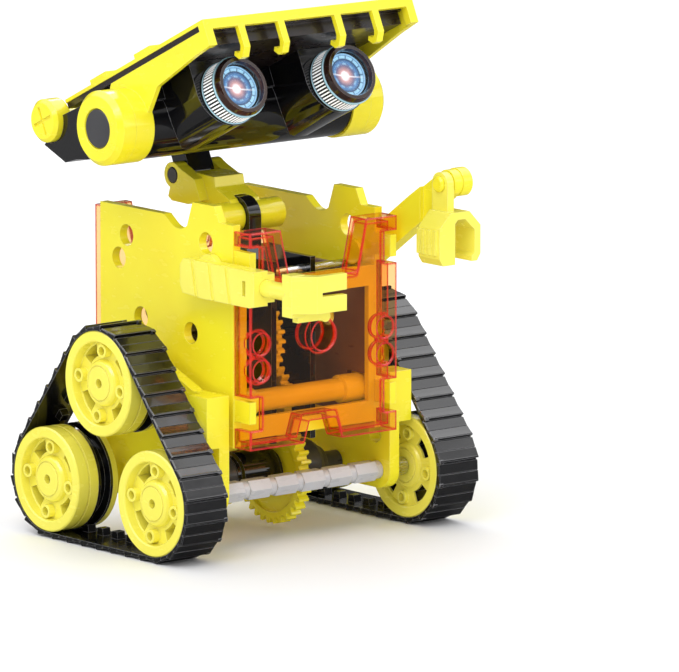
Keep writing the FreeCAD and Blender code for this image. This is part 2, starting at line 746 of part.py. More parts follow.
def loop_path(radius):
    """The closed path round the three wheels at a radius, as an outline."""
    tilt = math.degrees(math.atan2(SLOPE.y, SLOPE.x))
    rear, top, front = (REACH, AXLE_Z), (0.0, TOP_Z), (-REACH, AXLE_Z)
    return [
        arc_point(rear, radius, 270),
        arc_point(rear, radius, tilt) + arc_point(rear, radius, (tilt - 90) / 2),
        arc_point(top, radius, tilt),
        arc_point(top, radius, 180 - tilt) + arc_point(top, radius, 90),
        arc_point(front, radius, 180 - tilt),
        arc_point(front, radius, 270) + arc_point(front, radius, 225 + (90 - tilt) / 4),
    ]


def loop_station(distance, radius):
    """Point and outward angle (degrees) on the loop at a distance along it from the bottom middle."""
    tilt = math.degrees(math.atan2(SLOPE.y, SLOPE.x))
    side = math.hypot(REACH, TOP_Z - AXLE_Z)
    rear, top, front = (REACH, AXLE_Z), (0.0, TOP_Z), (-REACH, AXLE_Z)
    corners = [(rear, 270.0, 360.0 + tilt), (top, tilt, 180.0 - tilt), (front, 180.0 - tilt, 270.0)]
    straights = [REACH, side, side, REACH]
    for (centre, low, high), straight in zip(corners, straights):
        if distance < straight:
            base = arc_point(centre, radius, low)
            along = math.radians(low + 90.0)
            back = straight - distance
            return (base[0] - back * math.cos(along), base[1] - back * math.sin(along)), low
        distance -= straight
        arc = math.radians(high - low) * radius
        if distance < arc:
            angle = low + math.degrees(distance / radius)
            return arc_point(centre, radius, angle), angle
        distance -= arc
    base = arc_point(front, radius, 270.0)
    return (base[0] + distance, base[1]), 270.0


def loop_length(radius):
    side = math.hypot(REACH, TOP_Z - AXLE_Z)
    return 2 * REACH + 2 * side + 2 * math.pi * radius


def block_on_loop(point, angle, profile, near, far):
    """A prism along X, its (along, out) profile set on the loop at a point and outward angle."""
    out = V(0, math.cos(math.radians(angle)), math.sin(math.radians(angle)))
    along = V(0, -out.z, out.y)
    corners = [V(near, point[0], point[1]) + along * a + out * b for a, b in profile]
    face = Part.Face(Part.makePolygon(corners + corners[:1]))
    return face.extrude(V(far - near, 0, 0))


def track_belt():
    """A belt round three wheels: a band with wedge cleats outside and guide lugs inside."""
    inner = size("beltInner")
    outer = inner + size("beltBand")
    near, far = size("beltNear"), size("beltFar")
    band = side_prism("belt_band", loop_path(outer), "Sizes.beltNear", "Sizes.beltFar - Sizes.beltNear")
    hollow = side_prism("belt_hollow", loop_path(inner), "Sizes.beltNear - 1",
                        "Sizes.beltFar - Sizes.beltNear + 2")
    ring = cut(band, [hollow])
    doc.recompute()
    rise = size("cleatHeight")
    cleat = [(-2.3, -0.3), (-2.3, 0.18), (0.2, rise - 0.2), (0.5, rise), (1.3, rise), (1.3, -0.3)]
    lug = [(-1.7, 0.2), (1.7, 0.2), (1.4, -2.6), (-1.4, -2.6)]
    pieces = []
    pitch = loop_length(outer) / CLEATS
    for index in range(CLEATS):
        point, angle = loop_station((index + 0.5) * pitch, outer)
        pieces.append(block_on_loop(point, angle, cleat, near, far))
    pitch = loop_length(inner) / CLEATS
    for index in range(CLEATS):
        point, angle = loop_station((index + 0.5) * pitch, inner)
        pieces.append(block_on_loop(point, angle, lug, near + 3.8, near + 6.9))
    return ring.Shape.multiFuse(pieces)


belt = plain(track_belt())
sub_part(mirrored(belt), "track_belt_left")
sub_part(held(belt), "track_belt_right")


# ---------------------------------------------------------------- wheels

def wheel_disc(name, profile, floor, face, depth):
    """A turned wheel face with four hollow bosses, and four arc slots between them."""
    body = turned_x(name, profile)
    boss = new_sketch(body, "YZ_Plane", floor)
    draw_circle(boss, BOSS_RING, 0, 2.2)
    boss_pad = pad(body, boss, str(face - floor))
    eye = new_sketch(body, "YZ_Plane", face)
    draw_circle(eye, BOSS_RING, 0, 1.4)
    eye_cut = pocket(body, eye, str(min(depth - 0.4, face - floor + 1.6)))
    slot = new_sketch(body, "YZ_Plane", 1.0)
    draw_path(slot, slot_path())
    slot_cut = pocket(body, slot, str(depth + 2.0))
    doc.recompute()
    feature = body.newObject("PartDesign::PolarPattern", "Pattern")
    feature.Originals = [boss_pad, eye_cut, slot_cut]
    feature.Axis = (plane(body, "X_Axis"), [""])
    feature.Angle = 360.0
    feature.Occurrences = 4
    body.Tip = feature
    doc.recompute()
    return body.Shape


BOSS_RING = 10.7


def slot_path():
    centre = (0.0, 0.0)
    low, high = 45.0 - 17.0, 45.0 + 17.0
    return [
        arc_point(centre, 12.6, low),
        arc_point(centre, 12.6, high) + arc_point(centre, 12.6, 45.0),
        arc_point(centre, 8.9, high),
        arc_point(centre, 8.9, low) + arc_point(centre, 8.9, 45.0),
    ]


def at_wheel(shape, x, y, z, facing):
    """A copy of a wheel piece at an axle, its drawn face towards facing (+1 or -1 along X)."""
    item = shape.copy()
    if facing < 0:
        item = item.mirror(V(0, 0, 0), V(1, 0, 0))
    item.rotate(V(0, 0, 0), V(1, 0, 0), WHEEL_TURN)
    item.translate(V(x, y, z))
    return item


WHEEL_TURN = 97.0


def wheels():
    rim, bore = size("wheelRadius"), size("axleRadius")
    outer, core, inner = size("outerDisc"), size("wheelCore"), size("innerDisc")
    face = [
        (-outer, bore), (-0.5, bore), (-0.5, 5.35), (-0.9, 5.4), (-0.9, 5.75), (-0.55, 5.8),
        (-1.0, 6.8), (-1.8, 7.4), (-3.2, 7.7), (-3.2, 13.1), (-0.3, 13.4), (0.0, 13.7),
        (0.0, rim - 0.45), (-0.45, rim), (-4.3, rim), (-4.3, rim - 0.5), (-4.9, rim - 0.5),
        (-4.9, rim), (-outer, rim),
    ]
    back = [
        (-inner, bore), (-0.4, bore), (-0.4, 5.35), (-0.8, 5.4), (-0.8, 5.75), (-0.45, 5.8),
        (-0.9, 6.9), (-1.7, 7.4), (-1.7, 13.1), (-0.3, 13.4), (0.0, 13.7), (0.0, rim - 0.45),
        (-0.45, rim), (-inner, rim),
    ]
    groove = 14.0
    middle = [
        (0.0, bore), (0.0, rim), (1.0, rim), (1.0, groove), (core - 1.0, groove), (core - 1.0, rim),
        (core, rim), (core, bore),
    ]
    outer_shape = wheel_disc("outer_disc", face, -3.2, -0.6, outer)
    inner_shape = wheel_disc("inner_disc", back, -1.7, -0.3, inner)
    body = turned_x("core", middle)
    slot = new_sketch(body, "YZ_Plane", core + 1.0)
    draw_path(slot, slot_path())
    slot_cut = pocket(body, slot, "Sizes.wheelCore + 2")
    doc.recompute()
    pattern = body.newObject("PartDesign::PolarPattern", "Pattern")
    pattern.Originals = [slot_cut]
    pattern.Axis = (plane(body, "X_Axis"), [""])
    pattern.Angle = 360.0
    pattern.Occurrences = 4
    body.Tip = pattern
    doc.recompute()
    core_shape = body.Shape

    def discs(side, y, z):
        return [at_wheel(outer_shape, side * size("beltFar"), y, z, side),
                at_wheel(inner_shape, side * size("beltNear"), y, z, -side)]

    def core_at(side, y, z):
        near = size("beltNear") + inner
        return at_wheel(core_shape, side * near, y, z, side)

    for name, y in (("front", -REACH), ("rear", REACH)):
        both = [piece for side in (-1, 1) for piece in discs(side, y, AXLE_Z)]
        sub_part(plain(Part.makeCompound(both)), "wheel_discs_" + name)
        cores = [core_at(side, y, AXLE_Z) for side in (-1, 1)]
        sub_part(plain(Part.makeCompound(cores)), "wheel_cores_" + name)
    for name, side in (("left", -1), ("right", 1)):
        sub_part(plain(Part.makeCompound(discs(side, 0, TOP_Z))), "wheel_discs_top_" + name)
        sub_part(plain(core_at(side, 0, TOP_Z)), "wheel_core_top_" + name)


wheels()


# ---------------------------------------------------------------- neck

NECK = (size("neckY"), size("neckZ"))
TILT = (size("tiltY"), size("tiltZ"))


def neck():
    ring = rod_x(6.5, -2.4, 2.4, *NECK)
    strap = box((-2.4, NECK[0] - 6.5, 86.0), (2.4, NECK[0] - 2.0, NECK[1]))
    foot = side_prism("mast_foot", [(-9.0, 82.0), (-9.0, 88.0), (-6.0, 92.0), (0.0, 92.0),
                                    (1.5, 88.0), (1.5, 82.0)], "-4", "14")
    sub_part(cut(fuse([ring, strap, foot]), [rod_x("axleRadius", -5, 5, *NECK)]), "neck_mast")
    sub_part(held(rod_x("axleRadius", -13.0, 13.0, *NECK)), "neck_lower_pin")

    sleeves = [rod_x("sleeveRadius", 2.6, 14.0, *NECK), rod_x("sleeveRadius", -14.0, -2.6, *NECK)]
    block = side_prism("neck_core", [
        (-2.6, 103.2), (0.4, 107.3), (7.4, 110.5), (8.2, 113.7), (19.0, 114.2), (20.6, 112.6),
        (20.6, 104.2), (7.7, 104.8), (4.4, 98.6), (1.0, 98.0)], "-6", "12")
    ears = []
    for near in (5.2, -9.5):
        ears.append(side_prism("neck_ear", [
            (11.0, 106.0), (14.0, 112.6), (20.0, 114.8), (24.0, 116.6), (27.4, 105.6),
            (25.6, 104.4), (17.0, 104.2)], str(near), "4.3"))
        ears.append(rod_x(4.2, near, near + 4.3, *TILT))
    solid = fuse(sleeves + [block] + ears)
    tools = [rod_x(6.9, -2.6, 2.6, *NECK), rod_x("axleBore", -15, 15, *NECK),
             rod_x(4.3, -5.2, 5.2, *TILT), rod_x("axleRadius", -12, 12, *TILT),
             rod_x(2.7, 8.3, 12, *TILT), rod_x(2.7, -12, -8.3, *TILT)]
    sub_part(cut(solid, tools), "neck_block")
    profile = [(-9.7, 0.0), (-9.7, 2.2), (-9.2, 2.7), (-8.3, 2.7), (-8.3, 1.5), (8.3, 1.5),
               (8.3, 2.7), (9.2, 2.7), (9.7, 2.2), (9.7, 0.0)]
    sub_part(held(turned_x("upper_pin", profile, "Sizes.tiltY", "Sizes.tiltZ")), "neck_upper_pin")


neck()


# ---------------------------------------------------------------- head, drawn level about its own axis

PITCH = math.radians(size("headPitch"))
HEAD_PLACE = FreeCAD.Placement(
    V(0, size("headY") + size("frameShift"), size("headZ")),
    FreeCAD.Rotation(V(1, 0, 0), -size("headPitch")))


def head_part(obj, name):
    """A piece of the head: drawn level about the drum's axis, then pitched up and set in place."""
    obj.Label = name
    obj.Placement = HEAD_PLACE
    obj.setExpression("Placement.Base.y", "Sizes.headY + Sizes.frameShift")
    obj.setExpression("Placement.Base.z", "Sizes.headZ")
    PARTS.append(obj)
    return obj


def in_head(y, z):
    """A point of the shared frame in the head's own level frame."""
    dy, dz = y - size("headY"), z - size("headZ")
    return dy * math.cos(PITCH) - dz * math.sin(PITCH), dy * math.sin(PITCH) + dz * math.cos(PITCH)


HINGE = in_head(*TILT)
LENS_X, LENS_Z, LENS_Y = size("lensSide"), size("lensDrop"), size("lensFront")
POD_FRONT, RING_FRONT = -28.0, -34.7


def head_housing():
    """The dark drum with two lens pods in front and a wedge-shaped back."""
    drum_half = size("drumHalf")
    drum = rod_x("drumRadius", -drum_half, drum_half, 0, 0)
    wedge = side_prism("wedge", [(0.0, 11.2), (25.0, 12.3), (38.0, 6.7), (30.0, -2.0),
                                 (24.0, -3.0), (6.0, -9.3)], "-Sizes.drumHalf", "2 * Sizes.drumHalf")
    ends = []
    for near in (drum_half, -drum_half - 6.3):
        tip = side_prism("wedge_end", [(12.4, 11.8), (25.0, 12.3), (38.0, 6.7), (30.0, -2.0),
                                       (24.0, -3.0), (12.4, -6.9)], str(near), "6.3")
        ends.append(tip)
    saddle = box((-38.0, -12.0, 4.0), (38.0, 12.0, 14.6))
    pods = []
    for x in (-LENS_X, LENS_X):
        wide = 12.0
        pods.append(front_prism("pod", [
            (x - wide, 10.6), (x + wide, 10.6), (x + wide, LENS_Z + 0.6),
            (x - wide, LENS_Z + 0.6, x, LENS_Z - 10.6)], str(POD_FRONT), "24"))
    knob_room = [rod_x(7.3, drum_half - 0.5, 50, size("rodY"), size("rodZ")),
                 rod_x(7.3, -50, -drum_half + 0.5, size("rodY"), size("rodZ")),
                 rod_x(3.3, -50, 50, size("rodY"), size("rodZ"))]
    head_part(cut(fuse([drum, wedge, saddle] + ends + pods), knob_room), "head_housing")


head_housing()


def lens_units():
    """Ridged focus ring, bezel, domed lens and lit disc of each eye."""
    ring = [(7.5, RING_FRONT), (9.9, RING_FRONT), (10.2, RING_FRONT + 0.3), (10.2, RING_FRONT + 1.0),
            (10.4, RING_FRONT + 1.2), (10.4, POD_FRONT - 0.8), (9.9, POD_FRONT - 0.2),
            (9.9, POD_FRONT), (7.5, POD_FRONT)]
    bezel = [(7.9, LENS_Y), (9.0, LENS_Y), (9.3, LENS_Y + 0.4), (9.8, LENS_Y + 1.6),
             (9.8, RING_FRONT), (7.5, RING_FRONT), (7.5, LENS_Y + 1.4)]
    glass = [(0.0, LENS_Y + 0.9), (7.45, LENS_Y + 2.3, 3.9, LENS_Y + 1.25), (7.45, LENS_Y + 2.9),
             (0.0, LENS_Y + 2.9)]
    lamp = [(0.0, LENS_Y + 3.1), (7.3, LENS_Y + 3.1), (7.3, LENS_Y + 4.3), (0.0, LENS_Y + 4.3)]
    for name, profile in (("focus_rings", ring), ("lens_bezels", bezel), ("lenses", glass),
                          ("lens_lamps", lamp)):
        piece = turned_y(name, profile, "Sizes.lensSide", "Sizes.lensDrop")
        head_part(pair(piece), name)


lens_units()


def caps():
    near, far, radius = size("capNear"), size("capFar"), size("capRadius")
    cap = [(near, 0.0), (near, radius), (far - 1.6, radius), (far, radius - 1.6), (far, 6.6),
           (far - 0.9, 6.3), (far - 0.9, 0.0)]
    disc = [(far - 0.9, 0.0), (far - 0.9, 6.2), (far - 0.4, 6.2), (far - 0.2, 6.0), (far - 0.2, 0.0)]
    head_part(pair(turned_x("cap", cap)), "end_caps")
    head_part(pair(turned_x("cap_disc", disc)), "cap_discs")


caps()

HOOKS = (-28.0, -12.0, 11.0, 26.5)


def roof():
    """The roof frame with cheeks, hooks and tabs, the module under it and the cells in its window."""
    half_width, front, rear, top = (size("roofHalf"), size("roofFront"), size("roofRear"),
                                    size("roofTop"))
    strip_low, strip_high = 14.7, 16.6
    sheet_top = box((-half_width, front, strip_high), (half_width, rear, top))
    window = box((-38.2, -45.6, strip_high - 1), (38.2, 21.6, top + 1))
    deck = cut(sheet_top, [window])
    lip = box((-half_width, front, 14.6), (half_width, front + 1.8, top))
    pieces = [deck, lip]
    cheek_width = 1.8
    cheek = [(front, 9.1), (front, strip_low), (2.0, strip_low), (10.6, 5.6), (3.0, 1.0),
             (-3.7, 2.2), (-11.8, 0.1), (-20.0, 6.1), (-41.5, 8.5)]
    for side in (-1, 1):
        outer = side * half_width
        low = min(outer, outer - side * cheek_width)
        pieces.append(side_prism("cheek", cheek, str(low), str(cheek_width)))
        low = min(outer, outer - side * 3.1)
        pieces.append(box((low, front, 9.1), (low + 3.1, front + 3.0, top)))
        near, far = sorted((side * (half_width - cheek_width), side * size("capNear")))
        pieces.append(rod_x("capRadius", near, far, 0, 0))
        for y in (-22.0, 3.0):
            low = min(side * 38.0, side * half_width)
            pieces.append(box((low, y, top - 0.4), (low + half_width - 38.0, y + 9.0, top + 1.4)))
    for x in (-24.0, 12.0):
        pieces.append(box((x, 18.0, top - 0.4), (x + 12.0, 25.5, top + 2.2)))
    hook = [(front, 14.7), (front, 7.4), (front + 2.2, 4.7), (front + 4.2, 4.7),
            (front + 6.0, 6.6), (front + 5.2, 7.8), (front + 3.8, 6.7), (front + 2.6, 6.9),
            (front + 1.8, 8.4), (front + 1.8, 14.7)]
    for x in HOOKS:
        pieces.append(side_prism("hook", hook, str(x - 1.25), "2.5"))
    slots = [box((x + 3.0, 19.8, top - 1), (x + 9.0, 21.4, top + 3)) for x in (-24.0, 12.0)]
    head_part(cut(fuse(pieces), slots), "roof_frame")
    strip = box((-half_width + 0.3, front + 3.4, strip_low), (half_width - 0.3, rear - 0.2, strip_high))
    under = box((-half_width + 2.2, front + 6.0, 10.7), (half_width - 2.2, -12.2, strip_low))
    head_part(fuse([strip, under]), "solar_module")
    head_part(held(box((-37.9, -45.3, strip_high), (37.9, 21.3, strip_high + 0.8))), "solar_cells")


roof()


def rear_rod():
    """A rod across the back of the roof, with a round knob and a cross groove at each end."""
    knob = size("knobRadius")
    profile = [(-50.0, 0.0), (-50.0, knob - 1.2), (-48.8, knob), (-43.6, knob), (-42.8, knob - 0.8),
               (-42.8, 3.0), (42.8, 3.0), (42.8, knob - 0.8), (43.6, knob), (48.8, knob),
               (50.0, knob - 1.2), (50.0, 0.0)]
    y, z = size("rodY"), size("rodZ")
    rod = turned_x("rod", profile, "Sizes.rodY", "Sizes.rodZ")
    grooves = []
    for low in (-50.5, 49.2):
        grooves.append(box((low, y - 4.6, z - 0.5), (low + 1.3, y + 4.6, z + 0.5)))
        grooves.append(box((low, y - 0.5, z - 4.6), (low + 1.3, y + 0.5, z + 4.6)))
    head_part(cut(rod, grooves), "rear_rod")


rear_rod()


def head_bracket():
    """The block that hangs from the head's back and turns on the neck's upper pin."""
    y, z = HINGE
    trunk = side_prism("bracket", [(y - 3.6, z), (y - 3.6, -3.65), (24.0, -3.0), (y + 3.5, -2.1),
                                   (y + 3.5, z)], "-5", "10")
    ring = rod_x(3.6, -5.0, 5.0, y, z)
    head_part(cut(fuse([trunk, ring]), [rod_x("axleBore", -6, 6, y, z)]), "head_bracket")


head_bracket()


# ---------------------------------------------------------------- arms

SHOULDER = (size("shoulderY"), size("shoulderZ"))
WALL_OUT = size("sideInner") + size("sideThick")


def shoulder_stub(side):
    """The stub that turns in the side wall's hole, with its snap head inside the wall."""
    def span(low, high):
        return (low, high) if side > 0 else (-high, -low)
    stub = rod_x("stubRadius", *span(26.6, 33.0), *SHOULDER)
    head = rod_x(4.0, *span(26.0, 27.4), *SHOULDER)
    flange = rod_x(5.2, *span(WALL_OUT + 0.1, 33.0), *SHOULDER)
    return [stub, head, flange]


def left_arm():
    """A level forearm with slanted grooves, and a two-tined hand on a wrist shaft."""
    arm = side_prism("forearm", [
        (-14.6, 82.6), (-13.3, 85.0), (-13.3, 91.6), (-15.0, 93.6), (-50.5, 93.6),
        (-50.5, 82.4), (-48.0, 81.9), (-24.0, 81.9)], "-37", "5.6")
    nose = top_prism("nose", [(-37.0, -50.5), (-37.0, -46.0), (-27.2, -46.0), (-27.2, -48.4),
                              (-28.6, -50.5)], "83.4", "9")
    grooves = []
    for y in (-21.0, -29.5, -38.0):
        grooves.append(side_prism("groove", [(y, 80.0), (y - 1.6, 80.0), (y + 1.2, 95.0),
                                             (y + 2.8, 95.0)], "-38", "1.7"))
    slot = box((-38.0, -46.2, 85.4), (-30.0, -44.6, 90.2))
    bore = rod_y("wristRadius", -52.0, -46.8, size("wristX"), size("wristZ"))
    bore.setExpression("Radius", "Sizes.wristRadius + 0.05")
    sub_part(cut(fuse([arm, nose] + shoulder_stub(-1)), grooves + [slot, bore]), "left_forearm")

    x, z = size("wristX"), size("wristZ")
    shaft = rod_y("wristRadius", -63.0, -46.9, x, z)
    base = box((x - 2.6, -66.4, 80.8), (x + 2.6, -61.6, 94.2))
    slope = math.radians(49.0)
    out = (x - 2.6, -66.4)
    knee = (out[0] + 8.0 * math.sin(slope), out[1] - 8.0 * math.cos(slope))
    tine_path = [out, (x + 2.6, -64.0), (knee[0] + 2.2, knee[1] + 2.7), (-16.6, knee[1] + 2.4),
                 (-16.6, knee[1]), knee]
    tines = top_prism("tines", tine_path, "82.2", "11.8")
    slit = front_prism("slit", [(-26.4, 87.5), (-26.4, 88.7), (-16.0, 88.9), (-16.0, 87.3)],
                       "-80", "20")
    thumb = box((x, -66.2, 79.0), (-21.0, -63.6, 82.0))
    thumb_tip = rod_y(1.8, -66.2, -63.6, -20.6, 80.0)
    sub_part(cut(fuse([shaft, base, tines, thumb, thumb_tip]), [slit]), "left_hand")


left_arm()


def right_arm():
    """A raised bar with a claw that hangs from its end on a pin."""
    rise = math.radians(size("armRise"))
    reach = size("armReach")
    wide, narrow = size("barWidth") / 2.0, size("pivotRadius")
    forward = (-math.cos(rise), math.sin(rise))
    across = (math.sin(rise), math.cos(rise))

    def at(distance, offset):
        return (SHOULDER[0] + forward[0] * distance + across[0] * offset,
                SHOULDER[1] + forward[1] * distance + across[1] * offset)

    bar = side_prism("bar", [
        at(0, wide), at(0, -wide) + at(-wide, 0), at(reach * 0.6, -wide), at(reach, -narrow),
        at(reach, narrow) + at(reach + narrow, 0), at(reach * 0.6, wide)], "33", "4.6")
    pivot = at(reach, 0)
    thinning = box((32.9, pivot[0] - 9.0, 80.0), (34.4, -48.0, 130.0))
    arm = cut(fuse([bar] + shoulder_stub(1)), [thinning, rod_x("axleRadius", 30, 45, *pivot)])
    sub_part(arm, "right_arm")

    profile = [(30.2, 0.0), (30.2, 2.0), (30.7, 2.6), (31.4, 2.6), (31.4, 1.5), (37.7, 1.5),
               (37.7, 4.6), (41.4, 4.6), (42.2, 3.6), (42.2, 0.0)]
    sub_part(held(turned_x("pin", profile, str(pivot[0]), str(pivot[1]))), "claw_pin")

    strap_half = 3.8
    strap = fuse([rod_x(strap_half, 31.5, 34.2, *pivot),
                  box((31.5, pivot[0] - strap_half, 104.5), (34.2, pivot[0] + strap_half, pivot[1]))])
    jaw = front_prism("claw", [
        (26.0, 93.0), (26.0, 102.6), (30.6, 107.4), (38.4, 107.4), (43.0, 102.6), (43.0, 93.4),
        (41.6, 91.2), (39.4, 91.2), (39.4, 92.8), (40.6, 93.8), (40.6, 101.3), (36.6, 105.0),
        (33.6, 105.0), (32.5, 103.8), (32.5, 90.7), (27.5, 90.7)], "-66", "10.4")
    ribs = [box((25.4, y, 94.0), (26.4, y + 1.3, 102.0)) for y in (-64.4, -61.6, -58.8, -56.6)]
    sub_part(cut(fuse([strap, jaw] + ribs), [rod_x("axleBore", 30, 36, *pivot)]), "right_claw")


right_arm()


# ---------------------------------------------------------------- checks and export

doc.recompute()
for item in doc.Objects:
    if "Invalid" in item.State or "Error" in item.State:
        raise RuntimeError("%s (%s) failed" % (item.Name, item.Label))

os.makedirs("parts", exist_ok=True)
for part in PARTS:
    shape = part.Shape
    if shape.isNull() or not shape.isValid():
        raise RuntimeError("%s has a bad shape" % part.Label)
    shape.exportStep(os.path.join("parts", part.Label + ".step"))
print("%d sub-parts" % len(PARTS))
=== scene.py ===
import json
import math
import bpy
from mathutils import Matrix, Vector


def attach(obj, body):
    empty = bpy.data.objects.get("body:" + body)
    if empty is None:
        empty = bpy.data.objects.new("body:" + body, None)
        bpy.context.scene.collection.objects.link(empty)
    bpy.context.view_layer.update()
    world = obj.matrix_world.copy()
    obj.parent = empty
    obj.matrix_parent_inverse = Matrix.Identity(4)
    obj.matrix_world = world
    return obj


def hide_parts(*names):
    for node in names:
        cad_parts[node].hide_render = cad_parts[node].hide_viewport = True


# A small tracked robot: bright yellow moulded plastic, clear orange covers, glossy black head with two
# lit lenses, black rubber belts and a solar roof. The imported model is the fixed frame. Every length
# below is in millimetres in the frame's own axes, unless a note says metres; MM turns it into metres.

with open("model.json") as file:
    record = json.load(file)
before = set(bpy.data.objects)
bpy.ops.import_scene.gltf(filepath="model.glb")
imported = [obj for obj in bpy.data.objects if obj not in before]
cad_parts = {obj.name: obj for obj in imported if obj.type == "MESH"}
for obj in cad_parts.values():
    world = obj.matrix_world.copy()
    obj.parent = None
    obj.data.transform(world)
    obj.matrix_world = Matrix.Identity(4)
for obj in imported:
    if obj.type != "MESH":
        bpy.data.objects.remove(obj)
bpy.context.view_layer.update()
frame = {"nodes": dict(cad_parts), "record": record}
NODES = frame["nodes"]
MM = 0.001


# ---------------------------------------------------------------- places on the robot

AXLE_MIDDLE = 12.3                      # Y midway between the front and rear axles
AXLE_REACH = 27.0                       # from there to either axle
AXLE_Z, TOP_Z = 19.0, 53.8
HEAD_PLACE = Vector((0, 6.5 + AXLE_MIDDLE, 134.2))
HEAD_PITCH = -25.4                      # the head looks up a little
LENS_X, LENS_Z = 22.2, -1.0             # a lens axis, in the head's own level axes


def head_point(x, y, z):
    """A point given in the head's own level axes, in the frame's axes."""
    turn = Matrix.Rotation(math.radians(HEAD_PITCH), 3, "X")
    return HEAD_PLACE + turn @ Vector((x, y, z))


def lens_point(side, radius, angle, depth):
    """A point round a lens axis: side is -1 or 1, depth runs back along the axis."""
    x = side * LENS_X + radius * math.cos(angle)
    return head_point(x, depth, LENS_Z + radius * math.sin(angle))


# ---------------------------------------------------------------- mesh helpers

def add_piece(name, body, material, points, faces, smooth=False):
    """A new mesh piece from points in millimetres, riding on a body."""
    mesh = bpy.data.meshes.new(name)
    mesh.from_pydata([tuple(Vector(p) * MM) for p in points], [], faces)
    mesh.materials.append(material)
    for polygon in mesh.polygons:
        polygon.use_smooth = smooth
    mesh.validate()
    piece = bpy.data.objects.new(name, mesh)
    bpy.context.scene.collection.objects.link(piece)
    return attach(piece, body)


class Shape:
    """Points and faces gathered for one piece."""

    def __init__(self):
        self.points, self.faces = [], []

    def add(self, points, faces):
        """More points, with faces that count from the first of them."""
        start = len(self.points)
        self.points += points
        self.faces += [tuple(start + i for i in face) for face in faces]

    def loft(self, sections):
        """Quads between rows of points; the last row joins the first, so the piece closes on itself."""
        count, rows = len(sections[0]), len(sections)
        faces = []
        for row in range(rows):
            start, after = row * count, ((row + 1) % rows) * count
            for step in range(count):
                beside = (step + 1) % count
                faces.append((start + step, start + beside, after + beside, after + step))
        self.add([point for row in sections for point in row], faces)

    def block(self, corners):
        """A six-sided block from its four low corners and then its four high ones."""
        sides = [(i, (i + 1) % 4, (i + 1) % 4 + 4, i + 4) for i in range(4)]
        self.add(corners, [(3, 2, 1, 0), (4, 5, 6, 7)] + sides)


# ---------------------------------------------------------------- material recipes

MIX_FIRST, MIX_SECOND, MIX_RESULT = 6, 7, 2     # the colour sockets of a Mix node
EDGE_SHARP, EDGE_FLAT = 0.80, 0.995             # how alike the rounded and the true normal are


